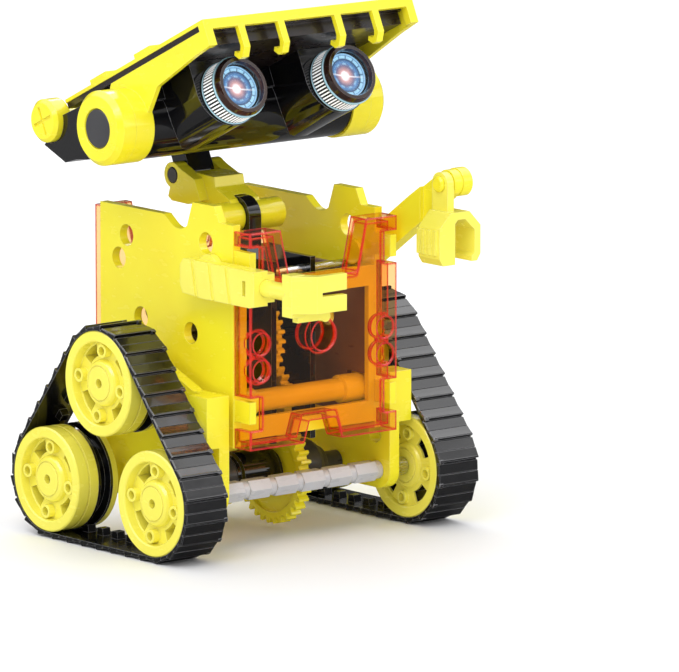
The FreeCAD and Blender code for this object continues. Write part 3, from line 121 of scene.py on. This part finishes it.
class Finish:
    """A material's node tree, with short calls for what the finishes share. Noise scales are repeats
    per metre and bump heights and edge radii are millimetres."""

    def __init__(self, name):
        self.material = bpy.data.materials.new(name)
        self.material.use_nodes = True
        self.tree = self.material.node_tree
        self.shader = self.tree.nodes["Principled BSDF"]
        self.output = self.tree.nodes["Material Output"]
        self.place = self.node("ShaderNodeTexCoord").outputs["Object"]

    def node(self, kind, **values):
        """A new node of a kind, with its settings."""
        made = self.tree.nodes.new(kind)
        for key, value in values.items():
            setattr(made, key, value)
        return made

    def link(self, source, target):
        """Joins an output socket to an input socket."""
        self.tree.links.new(source, target)

    def noise(self, scale, detail=2.0, stretch=(1, 1, 1)):
        """Noise of a given scale (repeats per metre), from 0 to 1."""
        place = self.node("ShaderNodeMapping")
        place.inputs["Scale"].default_value = stretch
        self.link(self.place, place.inputs["Vector"])
        noise = self.node("ShaderNodeTexNoise")
        noise.inputs["Scale"].default_value = scale
        noise.inputs["Detail"].default_value = detail
        self.link(place.outputs["Vector"], noise.inputs["Vector"])
        return noise.outputs["Fac"]

    def spread(self, value, low, high, start=0.3, end=0.7):
        """Maps a value from start to end onto low to high."""
        spread = self.node("ShaderNodeMapRange")
        for key, number in zip(("From Min", "From Max", "To Min", "To Max"), (start, end, low, high)):
            spread.inputs[key].default_value = number
        self.link(value, spread.inputs["Value"])
        return spread.outputs["Result"]

    def blend(self, share, first, second):
        """A colour between two, each a socket or three numbers."""
        mix = self.node("ShaderNodeMix", data_type="RGBA")
        self.link(share, mix.inputs["Factor"])
        for socket, colour in ((mix.inputs[MIX_FIRST], first), (mix.inputs[MIX_SECOND], second)):
            if isinstance(colour, tuple):
                socket.default_value = (*colour, 1.0)
            else:
                self.link(colour, socket)
        return mix.outputs[MIX_RESULT]

    def times(self, value, factor):
        """A value times a number or another socket."""
        maths = self.node("ShaderNodeMath", operation="MULTIPLY")
        self.link(value, maths.inputs[0])
        if isinstance(factor, (int, float)):
            maths.inputs[1].default_value = factor
        else:
            self.link(factor, maths.inputs[1])
        return maths.outputs[0]

    def mix_shaders(self, share, first, second):
        """One shader output blended into another."""
        mix = self.node("ShaderNodeMixShader")
        self.link(share, mix.inputs[0])
        self.link(first.outputs[0], mix.inputs[1])
        self.link(second.outputs[0], mix.inputs[2])
        return mix

    def outer_only(self, share):
        """A share that drops to nothing on faces seen from inside the piece."""
        inside = self.node("ShaderNodeNewGeometry").outputs["Backfacing"]
        return self.times(share, self.spread(inside, 1.0, 0.0, 0.0, 1.0))

    def soft_edges(self, radius):
        """Rounds the look of sharp edges; gives that normal, and how near an edge the point is."""
        bevel = self.node("ShaderNodeBevel", samples=6)
        bevel.inputs["Radius"].default_value = radius * MM
        dot = self.node("ShaderNodeVectorMath", operation="DOT_PRODUCT")
        self.link(bevel.outputs["Normal"], dot.inputs[0])
        self.link(self.node("ShaderNodeNewGeometry").outputs["Normal"], dot.inputs[1])
        edge = self.spread(dot.outputs["Value"], 1.0, 0.0, EDGE_SHARP, EDGE_FLAT)
        return bevel.outputs["Normal"], edge

    def bump(self, height, distance, normal=None):
        """A normal roughened by a height pattern, in millimetres deep."""
        bump = self.node("ShaderNodeBump")
        bump.inputs["Strength"].default_value = 1.0
        bump.inputs["Distance"].default_value = distance * MM
        self.link(height, bump.inputs["Height"])
        if normal is not None:
            self.link(normal, bump.inputs["Normal"])
        return bump.outputs["Normal"]

    def set(self, **values):
        """Sets or links the shader's inputs, their names written with underscores."""
        for key, value in values.items():
            socket = self.shader.inputs[key.replace("_", " ")]
            if isinstance(value, tuple):
                socket.default_value = (*value, 1.0)
            elif isinstance(value, (int, float)):
                socket.default_value = value
            else:
                self.link(value, socket)
        return self.material


def moulded(name, colour, deep, edge_colour, rough=0.22, grain=0.010, edge_radius=0.35, coat=0.35,
            glow=0.0):
    """Injection-moulded plastic: slow colour drift, a fine grain, and a painted highlight in a lighter
    colour along its softened edges; glow adds painted light in the plastic's own colour.
    """
    finish = Finish(name)
    normal, edge = finish.soft_edges(edge_radius)
    drift = finish.blend(finish.spread(finish.noise(45.0), 0.0, 1.0), deep, colour)
    # The lighter edge colour along the edges is a painted highlight, broken up by fine noise.
    edge_highlight_share = finish.times(edge, finish.spread(finish.noise(900.0, 4.0), 0.35, 1.0))
    tint = finish.blend(edge_highlight_share, drift, edge_colour)
    polish = finish.spread(finish.noise(160.0, 5.0, (1, 1, 3)), rough * 0.75, rough * 1.35)
    return finish.set(Base_Color=tint, Roughness=polish, Coat_Weight=coat, Coat_Roughness=0.08,
                      Emission_Color=colour, Emission_Strength=glow,
                      Normal=finish.bump(finish.noise(2600.0, 3.0), grain, normal))


CLEAR_ROUGHNESS = 0.05
CLEAR_RIM = 1.3                                 # how far in from an edge its deeper colour reaches
RIM_STRENGTH = 0.92
PLASTIC_BENDING, GLASS_BENDING = 1.45, 1.35     # refractive indices, the glass's kept low


def clear_tinted(name, tint, edge_colour, shine_colour):
    """Clear coloured plastic: light passes through tinted, edges glow deeper, faces shine."""
    finish = Finish(name)
    normal, edge = finish.soft_edges(CLEAR_RIM)
    flow = finish.noise(70.0, 3.0)
    surface = finish.bump(flow, 0.03, normal)
    rim = finish.blend(finish.spread(finish.noise(300.0, 3.0), 0.0, 1.0), edge_colour, shine_colour)
    finish.set(Base_Color=rim, Roughness=CLEAR_ROUGHNESS, Normal=surface, Coat_Weight=0.5)
    clear = finish.node("ShaderNodeBsdfTransparent")
    shade = finish.blend(finish.spread(flow, 0.0, 1.0), tint, tuple(c * 0.94 for c in tint))
    finish.link(shade, clear.inputs["Color"])
    gloss = finish.node("ShaderNodeBsdfGlossy")
    gloss.inputs["Roughness"].default_value = CLEAR_ROUGHNESS
    finish.link(surface, gloss.inputs["Normal"])
    angle = finish.node("ShaderNodeFresnel")
    angle.inputs["IOR"].default_value = PLASTIC_BENDING
    finish.link(surface, angle.inputs["Normal"])
    face = finish.mix_shaders(finish.outer_only(angle.outputs[0]), clear, gloss)
    rim_share = finish.spread(edge, 0.0, RIM_STRENGTH, 0.008, 0.09)
    join = finish.mix_shaders(rim_share, face, finish.shader)
    finish.link(join.outputs[0], finish.output.inputs["Surface"])
    return finish.material


def rubber(name):
    """Smooth black rubber with a fine mould texture, faint scuffs and a painted grey highlight along its
    edges.
    """
    finish = Finish(name)
    normal, edge = finish.soft_edges(0.25)
    scuff = finish.spread(finish.noise(520.0, 6.0, (0.3, 1, 1)), 0.0, 1.0, 0.45, 0.75)
    base = finish.blend(scuff, (0.003, 0.003, 0.004), (0.007, 0.007, 0.008))
    # The grey blended in along the edges is a painted highlight.
    tint = finish.blend(finish.times(edge, 0.7), base, (0.42, 0.42, 0.44))
    return finish.set(Base_Color=tint, Roughness=finish.spread(finish.noise(240.0, 4.0), 0.12, 0.24),
                      Specular_IOR_Level=0.50, Coat_Weight=0.30, Coat_Roughness=0.05,
                      Normal=finish.bump(finish.noise(1800.0, 3.0), 0.015, normal))


def metal(name, colour, rough, direction=(1, 14, 14)):
    """Turned metal with fine lines round or along the part."""
    finish = Finish(name)
    normal = finish.soft_edges(0.2)[0]
    lines = finish.noise(380.0, 3.0, direction)
    shaded = tuple(c * 0.7 for c in colour)
    finish.set(Base_Color=finish.blend(finish.spread(lines, 0.0, 1.0), shaded, colour), Metallic=1.0,
               Roughness=finish.spread(lines, rough * 0.7, rough * 1.3),
               Normal=finish.bump(lines, 0.01, normal))
    return finish.material


def solar(name):
    """Dark coated silicon with a faint crystal pattern under a clear layer."""
    finish = Finish(name)
    crystals = finish.node("ShaderNodeTexVoronoi")
    crystals.inputs["Scale"].default_value = 420.0
    finish.link(finish.place, crystals.inputs["Vector"])
    split = finish.node("ShaderNodeSeparateColor")
    finish.link(crystals.outputs["Color"], split.inputs[0])
    tint = finish.blend(split.outputs[0], (0.006, 0.007, 0.020), (0.016, 0.020, 0.055))
    finish.set(Base_Color=tint, Roughness=0.30, Specular_IOR_Level=0.2, Coat_Weight=0.3, Coat_Roughness=0.04,
               Normal=finish.bump(crystals.outputs["Distance"], 0.004))
    return finish.material


def painted_glow(name, strength):
    """A lit disc whose colours are stored on its mesh."""
    finish = Finish(name)
    colours = finish.node("ShaderNodeVertexColor", layer_name="glow")
    grain = finish.spread(finish.noise(900.0, 3.0), 0.85, 1.1)
    finish.set(Base_Color=(0.004, 0.006, 0.012), Emission_Color=colours.outputs["Color"],
               Emission_Strength=finish.times(grain, strength), Roughness=0.25)
    return finish.material


def lens_clear(name):
    """Thin clear glass: mostly see-through, with a clean highlight."""
    finish = Finish(name)
    finish.set(Base_Color=(0.9, 0.96, 1.0), Roughness=finish.spread(finish.noise(500.0), 0.01, 0.04),
               Coat_Weight=0.4)
    clear = finish.node("ShaderNodeBsdfTransparent")
    clear.inputs["Color"].default_value = (0.96, 0.98, 1.0, 1.0)
    gloss = finish.node("ShaderNodeFresnel")
    gloss.inputs["IOR"].default_value = GLASS_BENDING
    join = finish.mix_shaders(finish.outer_only(gloss.outputs[0]), clear, finish.shader)
    finish.link(join.outputs[0], finish.output.inputs["Surface"])
    return finish.material


YELLOW = moulded("moulded_yellow", (0.96, 0.87, 0.030), (0.93, 0.80, 0.022), (1.0, 0.94, 0.16))
# A paler, lit copy of the yellow for parts whose faces look brighter in the light: painted light, not a
# second plastic colour.
YELLOW_LIT = moulded("moulded_yellow_lit", (0.95, 0.88, 0.12), (0.92, 0.83, 0.09), (1.0, 0.95, 0.30))
BLACK = moulded("gloss_black", (0.006, 0.006, 0.007), (0.004, 0.004, 0.005), (0.50, 0.50, 0.53),
                rough=0.06, grain=0.002, edge_radius=0.2, coat=0.3)
MATT_BLACK = moulded("matt_black", (0.003, 0.003, 0.003), (0.002, 0.002, 0.002), (0.01, 0.01, 0.01),
                     rough=0.7, edge_radius=0.1, coat=0.0)
DARK_GREY = moulded("satin_dark_grey", (0.055, 0.055, 0.060), (0.040, 0.040, 0.045), (0.15, 0.15, 0.16),
                    rough=0.35)
LIGHT_GREY = moulded("moulded_light_grey", (0.58, 0.58, 0.60), (0.50, 0.50, 0.53), (0.78, 0.78, 0.80),
                     rough=0.30)
BROWN = moulded("bezel_brown", (0.035, 0.010, 0.004), (0.012, 0.004, 0.003), (0.42, 0.30, 0.26),
                rough=0.10, grain=0.002, edge_radius=0.22, coat=0.8)
# A dark sheet inside the body, behind the orange cover, that darkens what is seen through it: painted shade.
SHADE_LINER = moulded("painted_shade_liner", (0.25, 0.17, 0.20), (0.18, 0.12, 0.14), (0.30, 0.24, 0.26), rough=0.35)
MODULE = moulded("module_brown_black", (0.022, 0.014, 0.015), (0.014, 0.009, 0.010), (0.09, 0.07, 0.07),
                 rough=0.3)
# The ridges glow a little (glow 0.45): painted light that brightens them.
RIDGE = moulded("ridge_silver", (0.96, 0.96, 0.97), (0.88, 0.88, 0.90), (1.0, 1.0, 1.0), rough=0.2,
                grain=0.002, edge_radius=0.1, glow=0.45)
PALE_BLUE = moulded("ring_pale_blue", (0.42, 0.72, 0.84), (0.36, 0.64, 0.78), (0.75, 0.92, 1.0), rough=0.2)
ORANGE = clear_tinted("clear_orange", (1.0, 0.78, 0.50), (0.78, 0.016, 0.026), (0.92, 0.05, 0.03))
BELT = rubber("belt_rubber")
STEEL = metal("turned_steel", (0.62, 0.62, 0.65), 0.25)
MOTOR = metal("motor_steel", (0.55, 0.55, 0.57), 0.35, (10, 1, 1))
CELLS = solar("solar_silicon")
GLASS = lens_clear("lens_glass")
GLOW = painted_glow("lens_glow", 1.0)

SLOT_FINISH = {
    "yellow_plastic": YELLOW, "orange_clear": ORANGE, "black_gloss": BLACK, "dark_grey": DARK_GREY,
    "track_rubber": BELT, "light_grey": LIGHT_GREY, "steel": STEEL, "ridged_ring": BLACK,
    "bezel": BROWN, "lens_glass": GLASS, "lamp": GLOW, "solar_cell": CELLS, "motor_metal": MOTOR,
}
NODE_FINISH = {"wall_liner": SHADE_LINER, "solar_module": MODULE}
# These parts get the paler, lit copy of the yellow: painted light.
for pale in ("wheel_discs_front", "wheel_discs_rear", "wheel_discs_top_left", "wheel_discs_top_right",
             "left_forearm", "left_hand", "right_claw"):
    NODE_FINISH[pale] = YELLOW_LIT


def paint_nodes():
    """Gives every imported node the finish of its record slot, or its own."""
    slots = {part["node"]: part["material_slot"] for part in frame["record"]["subparts"]}
    for name, node in NODES.items():
        finish = NODE_FINISH.get(name, SLOT_FINISH[slots[name]])
        node.data.materials.clear()
        node.data.materials.append(finish)


paint_nodes()


# ---------------------------------------------------------------- belts

BELT_INNER, BELT_SURFACE, CLEAT_TOP = 17.0, 18.2, 19.0
BELT_NEAR, BELT_FAR = 43.5, 60.0
CLEATS = 34
SIDE_RUN = math.hypot(AXLE_REACH, TOP_Z - AXLE_Z)
RISE = math.degrees(math.atan2(AXLE_REACH, TOP_Z - AXLE_Z))


def on_circle(centre, radius, angle):
    turn = math.radians(angle)
    return centre[0] + radius * math.cos(turn), centre[1] + radius * math.sin(turn)


def belt_station(share, radius):
    """Point (Y, Z) round the belt at a radius; share runs once round from 0 to 1."""
    rear, top, front = (AXLE_REACH, AXLE_Z), (0.0, TOP_Z), (-AXLE_REACH, AXLE_Z)
    distance = (share % 1.0) * BELT_LENGTH
    corners = [(rear, 270.0, 360.0 + RISE), (top, RISE, 180.0 - RISE), (front, 180.0 - RISE, 270.0)]
    for (centre, low, high), straight in zip(corners, (AXLE_REACH, SIDE_RUN, SIDE_RUN)):
        if distance < straight:
            foot = on_circle(centre, radius, low)
            back = straight - distance
            along = math.radians(low + 90.0)
            return foot[0] - back * math.cos(along), foot[1] - back * math.sin(along)
        distance -= straight
        arc = math.radians(high - low) * BELT_SURFACE
        if distance < arc:
            return on_circle(centre, radius, low + math.degrees(distance / BELT_SURFACE))
        distance -= arc
    foot = on_circle(front, radius, 270.0)
    return foot[0] + distance, foot[1]


# One pitch of the tread, as (share of the pitch, height over the band's surface): a flat panel, a thin
# groove, a ramp and a sharp step back down.
TREAD = [
    (0.12, 0.0), (0.50, 0.0), (0.505, -0.45), (0.53, -0.45), (0.535, 0.12), (0.75, 0.42), (0.90, 0.70),
    (0.92, 0.80), (0.985, 0.80), (0.99, -0.55), (1.06, -0.55), (1.08, 0.0),
]
TREAD_START = 0.20                      # share of a pitch from the belt's start to its first cleat
BELT_LENGTH = 2 * math.pi * BELT_SURFACE + 2 * AXLE_REACH + 2 * SIDE_RUN
BELT_CHAMFER = 0.3
LUG_NEAR, LUG_FAR, LUG_LENGTH, LUG_DEPTH = 3.8, 6.9, 3.4, 2.4
NUB_NEAR, NUB_FAR = 0.1, 1.5
NUB_START, NUB_END = 1.08, 1.26         # shares of a pitch


def belt_block(shape, low, high, rows):
    """A block on the belt between two X stations; rows are (radius, first share, last share)."""
    corners = []
    for radius, first, last in rows:
        for x, share in ((low, first), (high, first), (high, last), (low, last)):
            y, z = belt_station(share, radius)
            corners.append((x, AXLE_MIDDLE + y, z))
    shape.block(corners)


def belt(name, side, node):
    """One belt: the treaded band, a guide lug behind each cleat and a nub at each cleat's inner end."""
    shape = Shape()
    sections = []
    near, far = side * BELT_NEAR, side * BELT_FAR
    chamfer = side * BELT_CHAMFER
    for index in range(CLEATS):
        for share, height in TREAD:
            outer = BELT_SURFACE + height
            row = []
            for x, radius in ((near, BELT_INNER), (near, outer - BELT_CHAMFER), (near + chamfer, outer),
                              (far - chamfer, outer), (far, outer - BELT_CHAMFER), (far, BELT_INNER)):
                y, z = belt_station((index + share + TREAD_START) / CLEATS, radius)
                row.append((x, AXLE_MIDDLE + y, z))
            sections.append(row)
    shape.loft(sections)
    half = LUG_LENGTH / 2 / BELT_LENGTH
    for index in range(CLEATS):
        middle = (index + 0.5) / CLEATS
        rows = [(BELT_INNER + 0.3, middle - half, middle + half),
                (BELT_INNER - LUG_DEPTH, middle - half * 0.75, middle + half * 0.75)]
        belt_block(shape, near + side * LUG_NEAR, near + side * LUG_FAR, rows)
        start, end = (index + NUB_START) / CLEATS, (index + NUB_END) / CLEATS
        rows = [(radius, start, end) for radius in (BELT_SURFACE - 0.3, CLEAT_TOP - 0.05)]
        belt_block(shape, near + side * NUB_NEAR, near + side * NUB_FAR, rows)
    piece = add_piece(name, "chassis", BELT, shape.points, shape.faces)
    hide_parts(node)


belt("belt_left_tread", -1, "track_belt_left")
belt("belt_right_tread", 1, "track_belt_right")


# ---------------------------------------------------------------- lenses

RING_FRONT, RING_BACK = -34.7, -28.0
DISC_DEPTH = -33.7
RIDGES = 56
RIDGE_HALF = 0.22                       # half a ridge's width as a share of the pitch
RIDGE_RADII = (9.7, 10.0)
RIDGE_FRONT, RIDGE_BACK = RING_FRONT + 1.1, RING_BACK - 0.85
LENS_STEPS = 96


def round_lens(side, profile):
    """Rows of points of a turned piece round a lens axis; profile is (radius, depth)."""
    rows = []
    for step in range(LENS_STEPS):
        angle = 2 * math.pi * step / LENS_STEPS
        rows.append([lens_point(side, radius, angle, depth) for radius, depth in profile])
    return rows


def ring_profile(rows, place):
    """A turned profile from (radius, distance) pairs measured back from a depth."""
    return [(radius, place + back) for radius, back in rows]


def focus_rings():
    """Both focus rings: a black sleeve, white ridges round it and a blue line at each end."""
    sleeve, ridges, lines = Shape(), Shape(), Shape()
    front_rim = [(9.0, 0.0), (9.95, 0.0), (10.15, 0.3), (10.15, 0.75), (9.85, 0.95)]
    back_rim = [(9.85, -0.7), (10.35, -0.5), (10.4, 0.0), (9.0, 0.0)]
    front_line = [(9.6, -0.02), (10.0, -0.02), (10.2, 0.2), (10.2, 0.5), (9.9, 0.5), (9.6, 0.1)]
    back_line = [(10.0, -0.65), (10.38, -0.65), (10.38, -0.4), (10.0, -0.4)]
    pitch = 2 * math.pi / RIDGES
    for side in (-1, 1):
        rims = ring_profile(front_rim, RING_FRONT) + ring_profile(back_rim, RING_BACK)
        sleeve.loft(round_lens(side, rims))
        lines.loft(round_lens(side, ring_profile(front_line, RING_FRONT)))
        lines.loft(round_lens(side, ring_profile(back_line, RING_BACK)))
        for ridge in range(RIDGES):
            first, last = (ridge + 0.5 - RIDGE_HALF) * pitch, (ridge + 0.5 + RIDGE_HALF) * pitch
            outline = ((first, RIDGE_FRONT), (last, RIDGE_FRONT), (last, RIDGE_BACK), (first, RIDGE_BACK))
            ridges.block([lens_point(side, radius, angle, depth) for radius in RIDGE_RADII
                          for angle, depth in outline])
    base = add_piece("focus_ring_sleeves", "head", MATT_BLACK, sleeve.points, sleeve.faces)
    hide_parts("focus_rings")
    add_piece("focus_ring_ridges", "head", RIDGE, ridges.points, ridges.faces)
    add_piece("focus_ring_lines", "head", PALE_BLUE, lines.points, lines.faces)


focus_rings()


WHITE, ROSE, VIOLET = Vector((1.5, 1.4, 1.4)), Vector((0.80, 0.42, 0.40)), Vector((0.20, 0.17, 0.28))
BLUE, ICE, DEEP = Vector((0.10, 0.28, 0.58)), Vector((0.45, 0.82, 1.05)), Vector((0.015, 0.05, 0.13))
GLOW_STOPS = [(0.0, WHITE), (0.13, WHITE), (0.27, ROSE), (0.46, VIOLET), (0.62, BLUE), (0.76, DEEP),
              (1.0, BLUE)]
FLARE_TILT, FLARE_WIDTH = 0.20, 0.055
DISC_RINGS, DISC_SPOKES = 48, 168
DISC_RADIUS, DISC_DISH = 7.3, 0.9


def glow_colour(radius, angle):
    """The lit pattern's colour at a share of the radius: a plain ring light round a soft star."""
    for (low, first), (high, second) in zip(GLOW_STOPS, GLOW_STOPS[1:]):
        if low <= radius <= high:
            colour = first.lerp(second, (radius - low) / (high - low))
    turn = angle / (2 * math.pi)
    if 0.52 < radius < 0.60 and (turn * 9 + 0.3) % 1.0 < 0.5:
        colour = colour.lerp(ICE, 0.45)
    if 0.78 < radius < 0.90:
        colour = colour.lerp(ICE, 0.85 if (turn * 14) % 1.0 < 0.78 else 0.15)
    if radius > 0.93:
        colour = colour.lerp(ICE, 0.55)
    across = abs(math.sin(angle + FLARE_TILT)) * radius
    flare = max(0.0, 1 - across / FLARE_WIDTH) * max(0.0, 1 - radius / 1.05)
    return colour.lerp(WHITE, min(1.0, flare * 1.1))


def lit_discs():
    """The lit disc behind each lens, its pattern stored as colours on a polar mesh."""
    shape, colours = Shape(), []
    for side in (-1, 1):
        points = []
        for ring in range(DISC_RINGS + 1):
            for spoke in range(DISC_SPOKES):
                angle = 2 * math.pi * spoke / DISC_SPOKES
                share = ring / DISC_RINGS
                depth = DISC_DEPTH + DISC_DISH * (1 - share * share)
                points.append(lens_point(side, DISC_RADIUS * share, angle, depth))
                colours.append(glow_colour(share, angle))
        faces = []
        for ring in range(DISC_RINGS):
            start = ring * DISC_SPOKES
            for spoke in range(DISC_SPOKES):
                a, b = start + spoke, start + (spoke + 1) % DISC_SPOKES
                faces.append((a, a + DISC_SPOKES, b + DISC_SPOKES, b))
        shape.add(points, faces)
    piece = add_piece("lit_discs", "head", GLOW, shape.points, shape.faces, smooth=True)
    layer = piece.data.color_attributes.new("glow", "FLOAT_COLOR", "POINT")
    for entry, colour in zip(layer.data, colours):
        entry.color = (*colour, 1.0)
    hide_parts("lens_lamps")


lit_discs()


# ---------------------------------------------------------------- solar cells

CELL_HALF, CELL_FRONT, CELL_REAR = 37.9, -45.3, 21.3     # the panel, in the head's own level axes
CELL_LOW, CELL_TOP = 16.6, 17.4
CELL_COLUMNS, CELL_ROWS = 6, 4
CELL_GAP = 0.35
CONTACT_LOW, CONTACT_HIGH = CELL_TOP - 0.1, CELL_TOP + 0.04
FINGER_SHARES = (0.14, 0.32, 0.50, 0.68, 0.86)           # where the fingers lie along a tile
FINGER_HALF, FINGER_INSET = 0.07, 0.6
BUSBAR_HALF, BUSBAR_INSET = 0.25, 0.5


def head_block(shape, low, high):
    """A block between two corners given in the head's own level axes."""
    outline = ((low[0], low[1]), (high[0], low[1]), (high[0], high[1]), (low[0], high[1]))
    shape.block([head_point(x, y, z) for z in (low[2], high[2]) for x, y in outline])


def solar_cells():
    """The roof's cells: dark tiles on a sheet, with fine silver fingers and a busbar on each tile."""
    tiles, wires = Shape(), Shape()
    head_block(tiles, (-CELL_HALF, CELL_FRONT, CELL_LOW), (CELL_HALF, CELL_REAR, CELL_TOP - 0.25))
    width, depth = 2 * CELL_HALF / CELL_COLUMNS, (CELL_REAR - CELL_FRONT) / CELL_ROWS
    for column in range(CELL_COLUMNS):
        for row in range(CELL_ROWS):
            left, front = -CELL_HALF + column * width + CELL_GAP, CELL_FRONT + row * depth + CELL_GAP
            right, rear = left + width - 2 * CELL_GAP, front + depth - 2 * CELL_GAP
            head_block(tiles, (left, front, CELL_TOP - 0.3), (right, rear, CELL_TOP))
            for share in FINGER_SHARES:
                y = front + (rear - front) * share
                head_block(wires, (left + FINGER_INSET, y - FINGER_HALF, CONTACT_LOW),
                           (right - FINGER_INSET, y + FINGER_HALF, CONTACT_HIGH))
            middle = (left + right) / 2
            head_block(wires, (middle - BUSBAR_HALF, front + BUSBAR_INSET, CONTACT_LOW),
                       (middle + BUSBAR_HALF, rear - BUSBAR_INSET, CONTACT_HIGH))
    piece = add_piece("solar_tiles", "head", CELLS, tiles.points, tiles.faces)
    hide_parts("solar_cells")
    add_piece("solar_contacts", "head", STEEL, wires.points, wires.faces)


solar_cells()


# ---------------------------------------------------------------- studio

FLOOR_REACH = 9.0                                       # metres from the middle
LIGHT_AIM = Vector((0, 0, 0.085))                       # metres
CAMERA_AZIMUTH, CAMERA_ELEVATION = -39.42, 9.90         # degrees
CAMERA_AIM = (0, 2.3, 85)                               # millimetres, as are the three below
CAMERA_RIGHT, CAMERA_UP, CAMERA_BACK = 24.0, -20.8, 2880
CAMERA_LENS, SENSOR_WIDTH = 477.97, 36


def add_floor():
    """A pale floor, large enough to fill the view behind the robot. It glows more with distance from the
    robot, painted light that leaves the floor near the robot darker, and it shows dark grey in reflections,
    a painted reflection.
    """
    finish = Finish("pale_floor")
    pale = finish.blend(finish.spread(finish.noise(3.0), 0.0, 1.0), (0.86, 0.86, 0.865), (0.88, 0.88, 0.88))
    mirrored = finish.node("ShaderNodeLightPath").outputs["Is Glossy Ray"]
    distance = finish.node("ShaderNodeVectorMath", operation="LENGTH")
    finish.link(finish.place, distance.inputs[0])
    # Dark grey when seen in a reflection (painted reflection); a glow rising from 0.1 m to 0.6 m away from
    # the middle (painted light, so the floor near the robot stays darker).
    finish.set(Base_Color=finish.blend(mirrored, pale, (0.16, 0.16, 0.16)), Roughness=0.6,
               Specular_IOR_Level=0.1, Emission_Color=(1.0, 1.0, 1.0),
               Emission_Strength=finish.spread(distance.outputs["Value"], 0.0, 0.16, 0.10, 0.60))
    mesh = bpy.data.meshes.new("floor")
    corners = [(-1, -1), (1, -1), (1, 1), (-1, 1)]
    mesh.from_pydata([(x * FLOOR_REACH, y * FLOOR_REACH, 0) for x, y in corners], [], [(0, 1, 2, 3)])
    mesh.materials.append(finish.material)
    floor = bpy.data.objects.new("floor", mesh)
    bpy.context.scene.collection.objects.link(floor)


def add_light(name, place, size, power, colour=(1, 1, 1)):
    """A soft rectangular light at a place in metres, aimed at the robot's middle."""
    data = bpy.data.lights.new(name, "AREA")
    data.shape = "RECTANGLE"
    data.size, data.size_y = size
    data.energy = power
    data.color = colour
    light = bpy.data.objects.new(name, data)
    bpy.context.scene.collection.objects.link(light)
    light.location = place
    light.rotation_euler = (LIGHT_AIM - Vector(place)).to_track_quat("-Z", "Y").to_euler()
    light.visible_camera = False


# Brightness of the sky at heights from the horizon (0) to overhead (1).
EVEN_SKY = ((0.0, 0.92), (0.7, 1.05))
STUDIO_SKY = ((0.0, 0.05), (0.35, 0.08), (0.55, 1.2), (0.75, 2.8), (0.9, 4.2))


def add_sky():
    """Even white light for surfaces; what shines sees a studio, dark at the horizon and bright overhead."""
    world = bpy.data.worlds.new("studio")
    bpy.context.scene.world = world
    world.use_nodes = True
    nodes, links = world.node_tree.nodes, world.node_tree.links
    place = nodes.new("ShaderNodeTexCoord")
    split = nodes.new("ShaderNodeSeparateXYZ")
    links.new(place.outputs["Generated"], split.inputs[0])
    ramps = []
    for stops in (EVEN_SKY, STUDIO_SKY):
        ramp = nodes.new("ShaderNodeValToRGB").color_ramp
        while len(ramp.elements) < len(stops):
            ramp.elements.new(0.5)
        for element, (height, level) in zip(ramp.elements, stops):
            element.position, element.color = height, (level, level, level * 1.01, 1)
        ramps.append([node for node in nodes if node.type == "VALTORGB"][-1])
        links.new(split.outputs["Z"], ramps[-1].inputs[0])
    path = nodes.new("ShaderNodeLightPath")
    choose = nodes.new("ShaderNodeMix")
    choose.data_type = "RGBA"
    links.new(path.outputs["Is Glossy Ray"], choose.inputs["Factor"])
    links.new(ramps[0].outputs[0], choose.inputs[MIX_FIRST])
    links.new(ramps[1].outputs[0], choose.inputs[MIX_SECOND])
    links.new(choose.outputs[MIX_RESULT], nodes["Background"].inputs["Color"])
    nodes["Background"].inputs["Strength"].default_value = 1.0


def add_camera():
    """Low, from the robot's front left, through a very long lens."""
    azimuth, elevation = math.radians(CAMERA_AZIMUTH), math.radians(CAMERA_ELEVATION)
    right = Vector((math.cos(azimuth), math.sin(azimuth), 0))
    level = Vector((math.sin(azimuth), -math.cos(azimuth), 0))
    back = level * math.cos(elevation) + Vector((0, 0, math.sin(elevation)))
    up = back.cross(right)
    target = Vector(CAMERA_AIM) * MM
    shift = (CAMERA_RIGHT * right + CAMERA_UP * up + CAMERA_BACK * back) * MM
    data = bpy.data.cameras.new("camera")
    data.lens = CAMERA_LENS
    data.sensor_width = SENSOR_WIDTH
    data.clip_end = 100
    camera = bpy.data.objects.new("camera", data)
    bpy.context.scene.collection.objects.link(camera)
    turn = Matrix((right, up, back)).transposed().to_4x4()
    camera.matrix_world = Matrix.Translation(target + shift) @ turn
    bpy.context.scene.camera = camera


add_floor()
add_sky()
add_light("key", (-0.55, -0.35, 0.75), (0.45, 0.45), 2.5)
add_light("fill", (0.60, -0.70, 0.35), (0.5, 0.3), 0.8)
add_light("rim", (0.25, 0.65, 0.60), (0.6, 0.2), 1.5)
add_camera()
bpy.context.scene.view_settings.view_transform = "Standard"
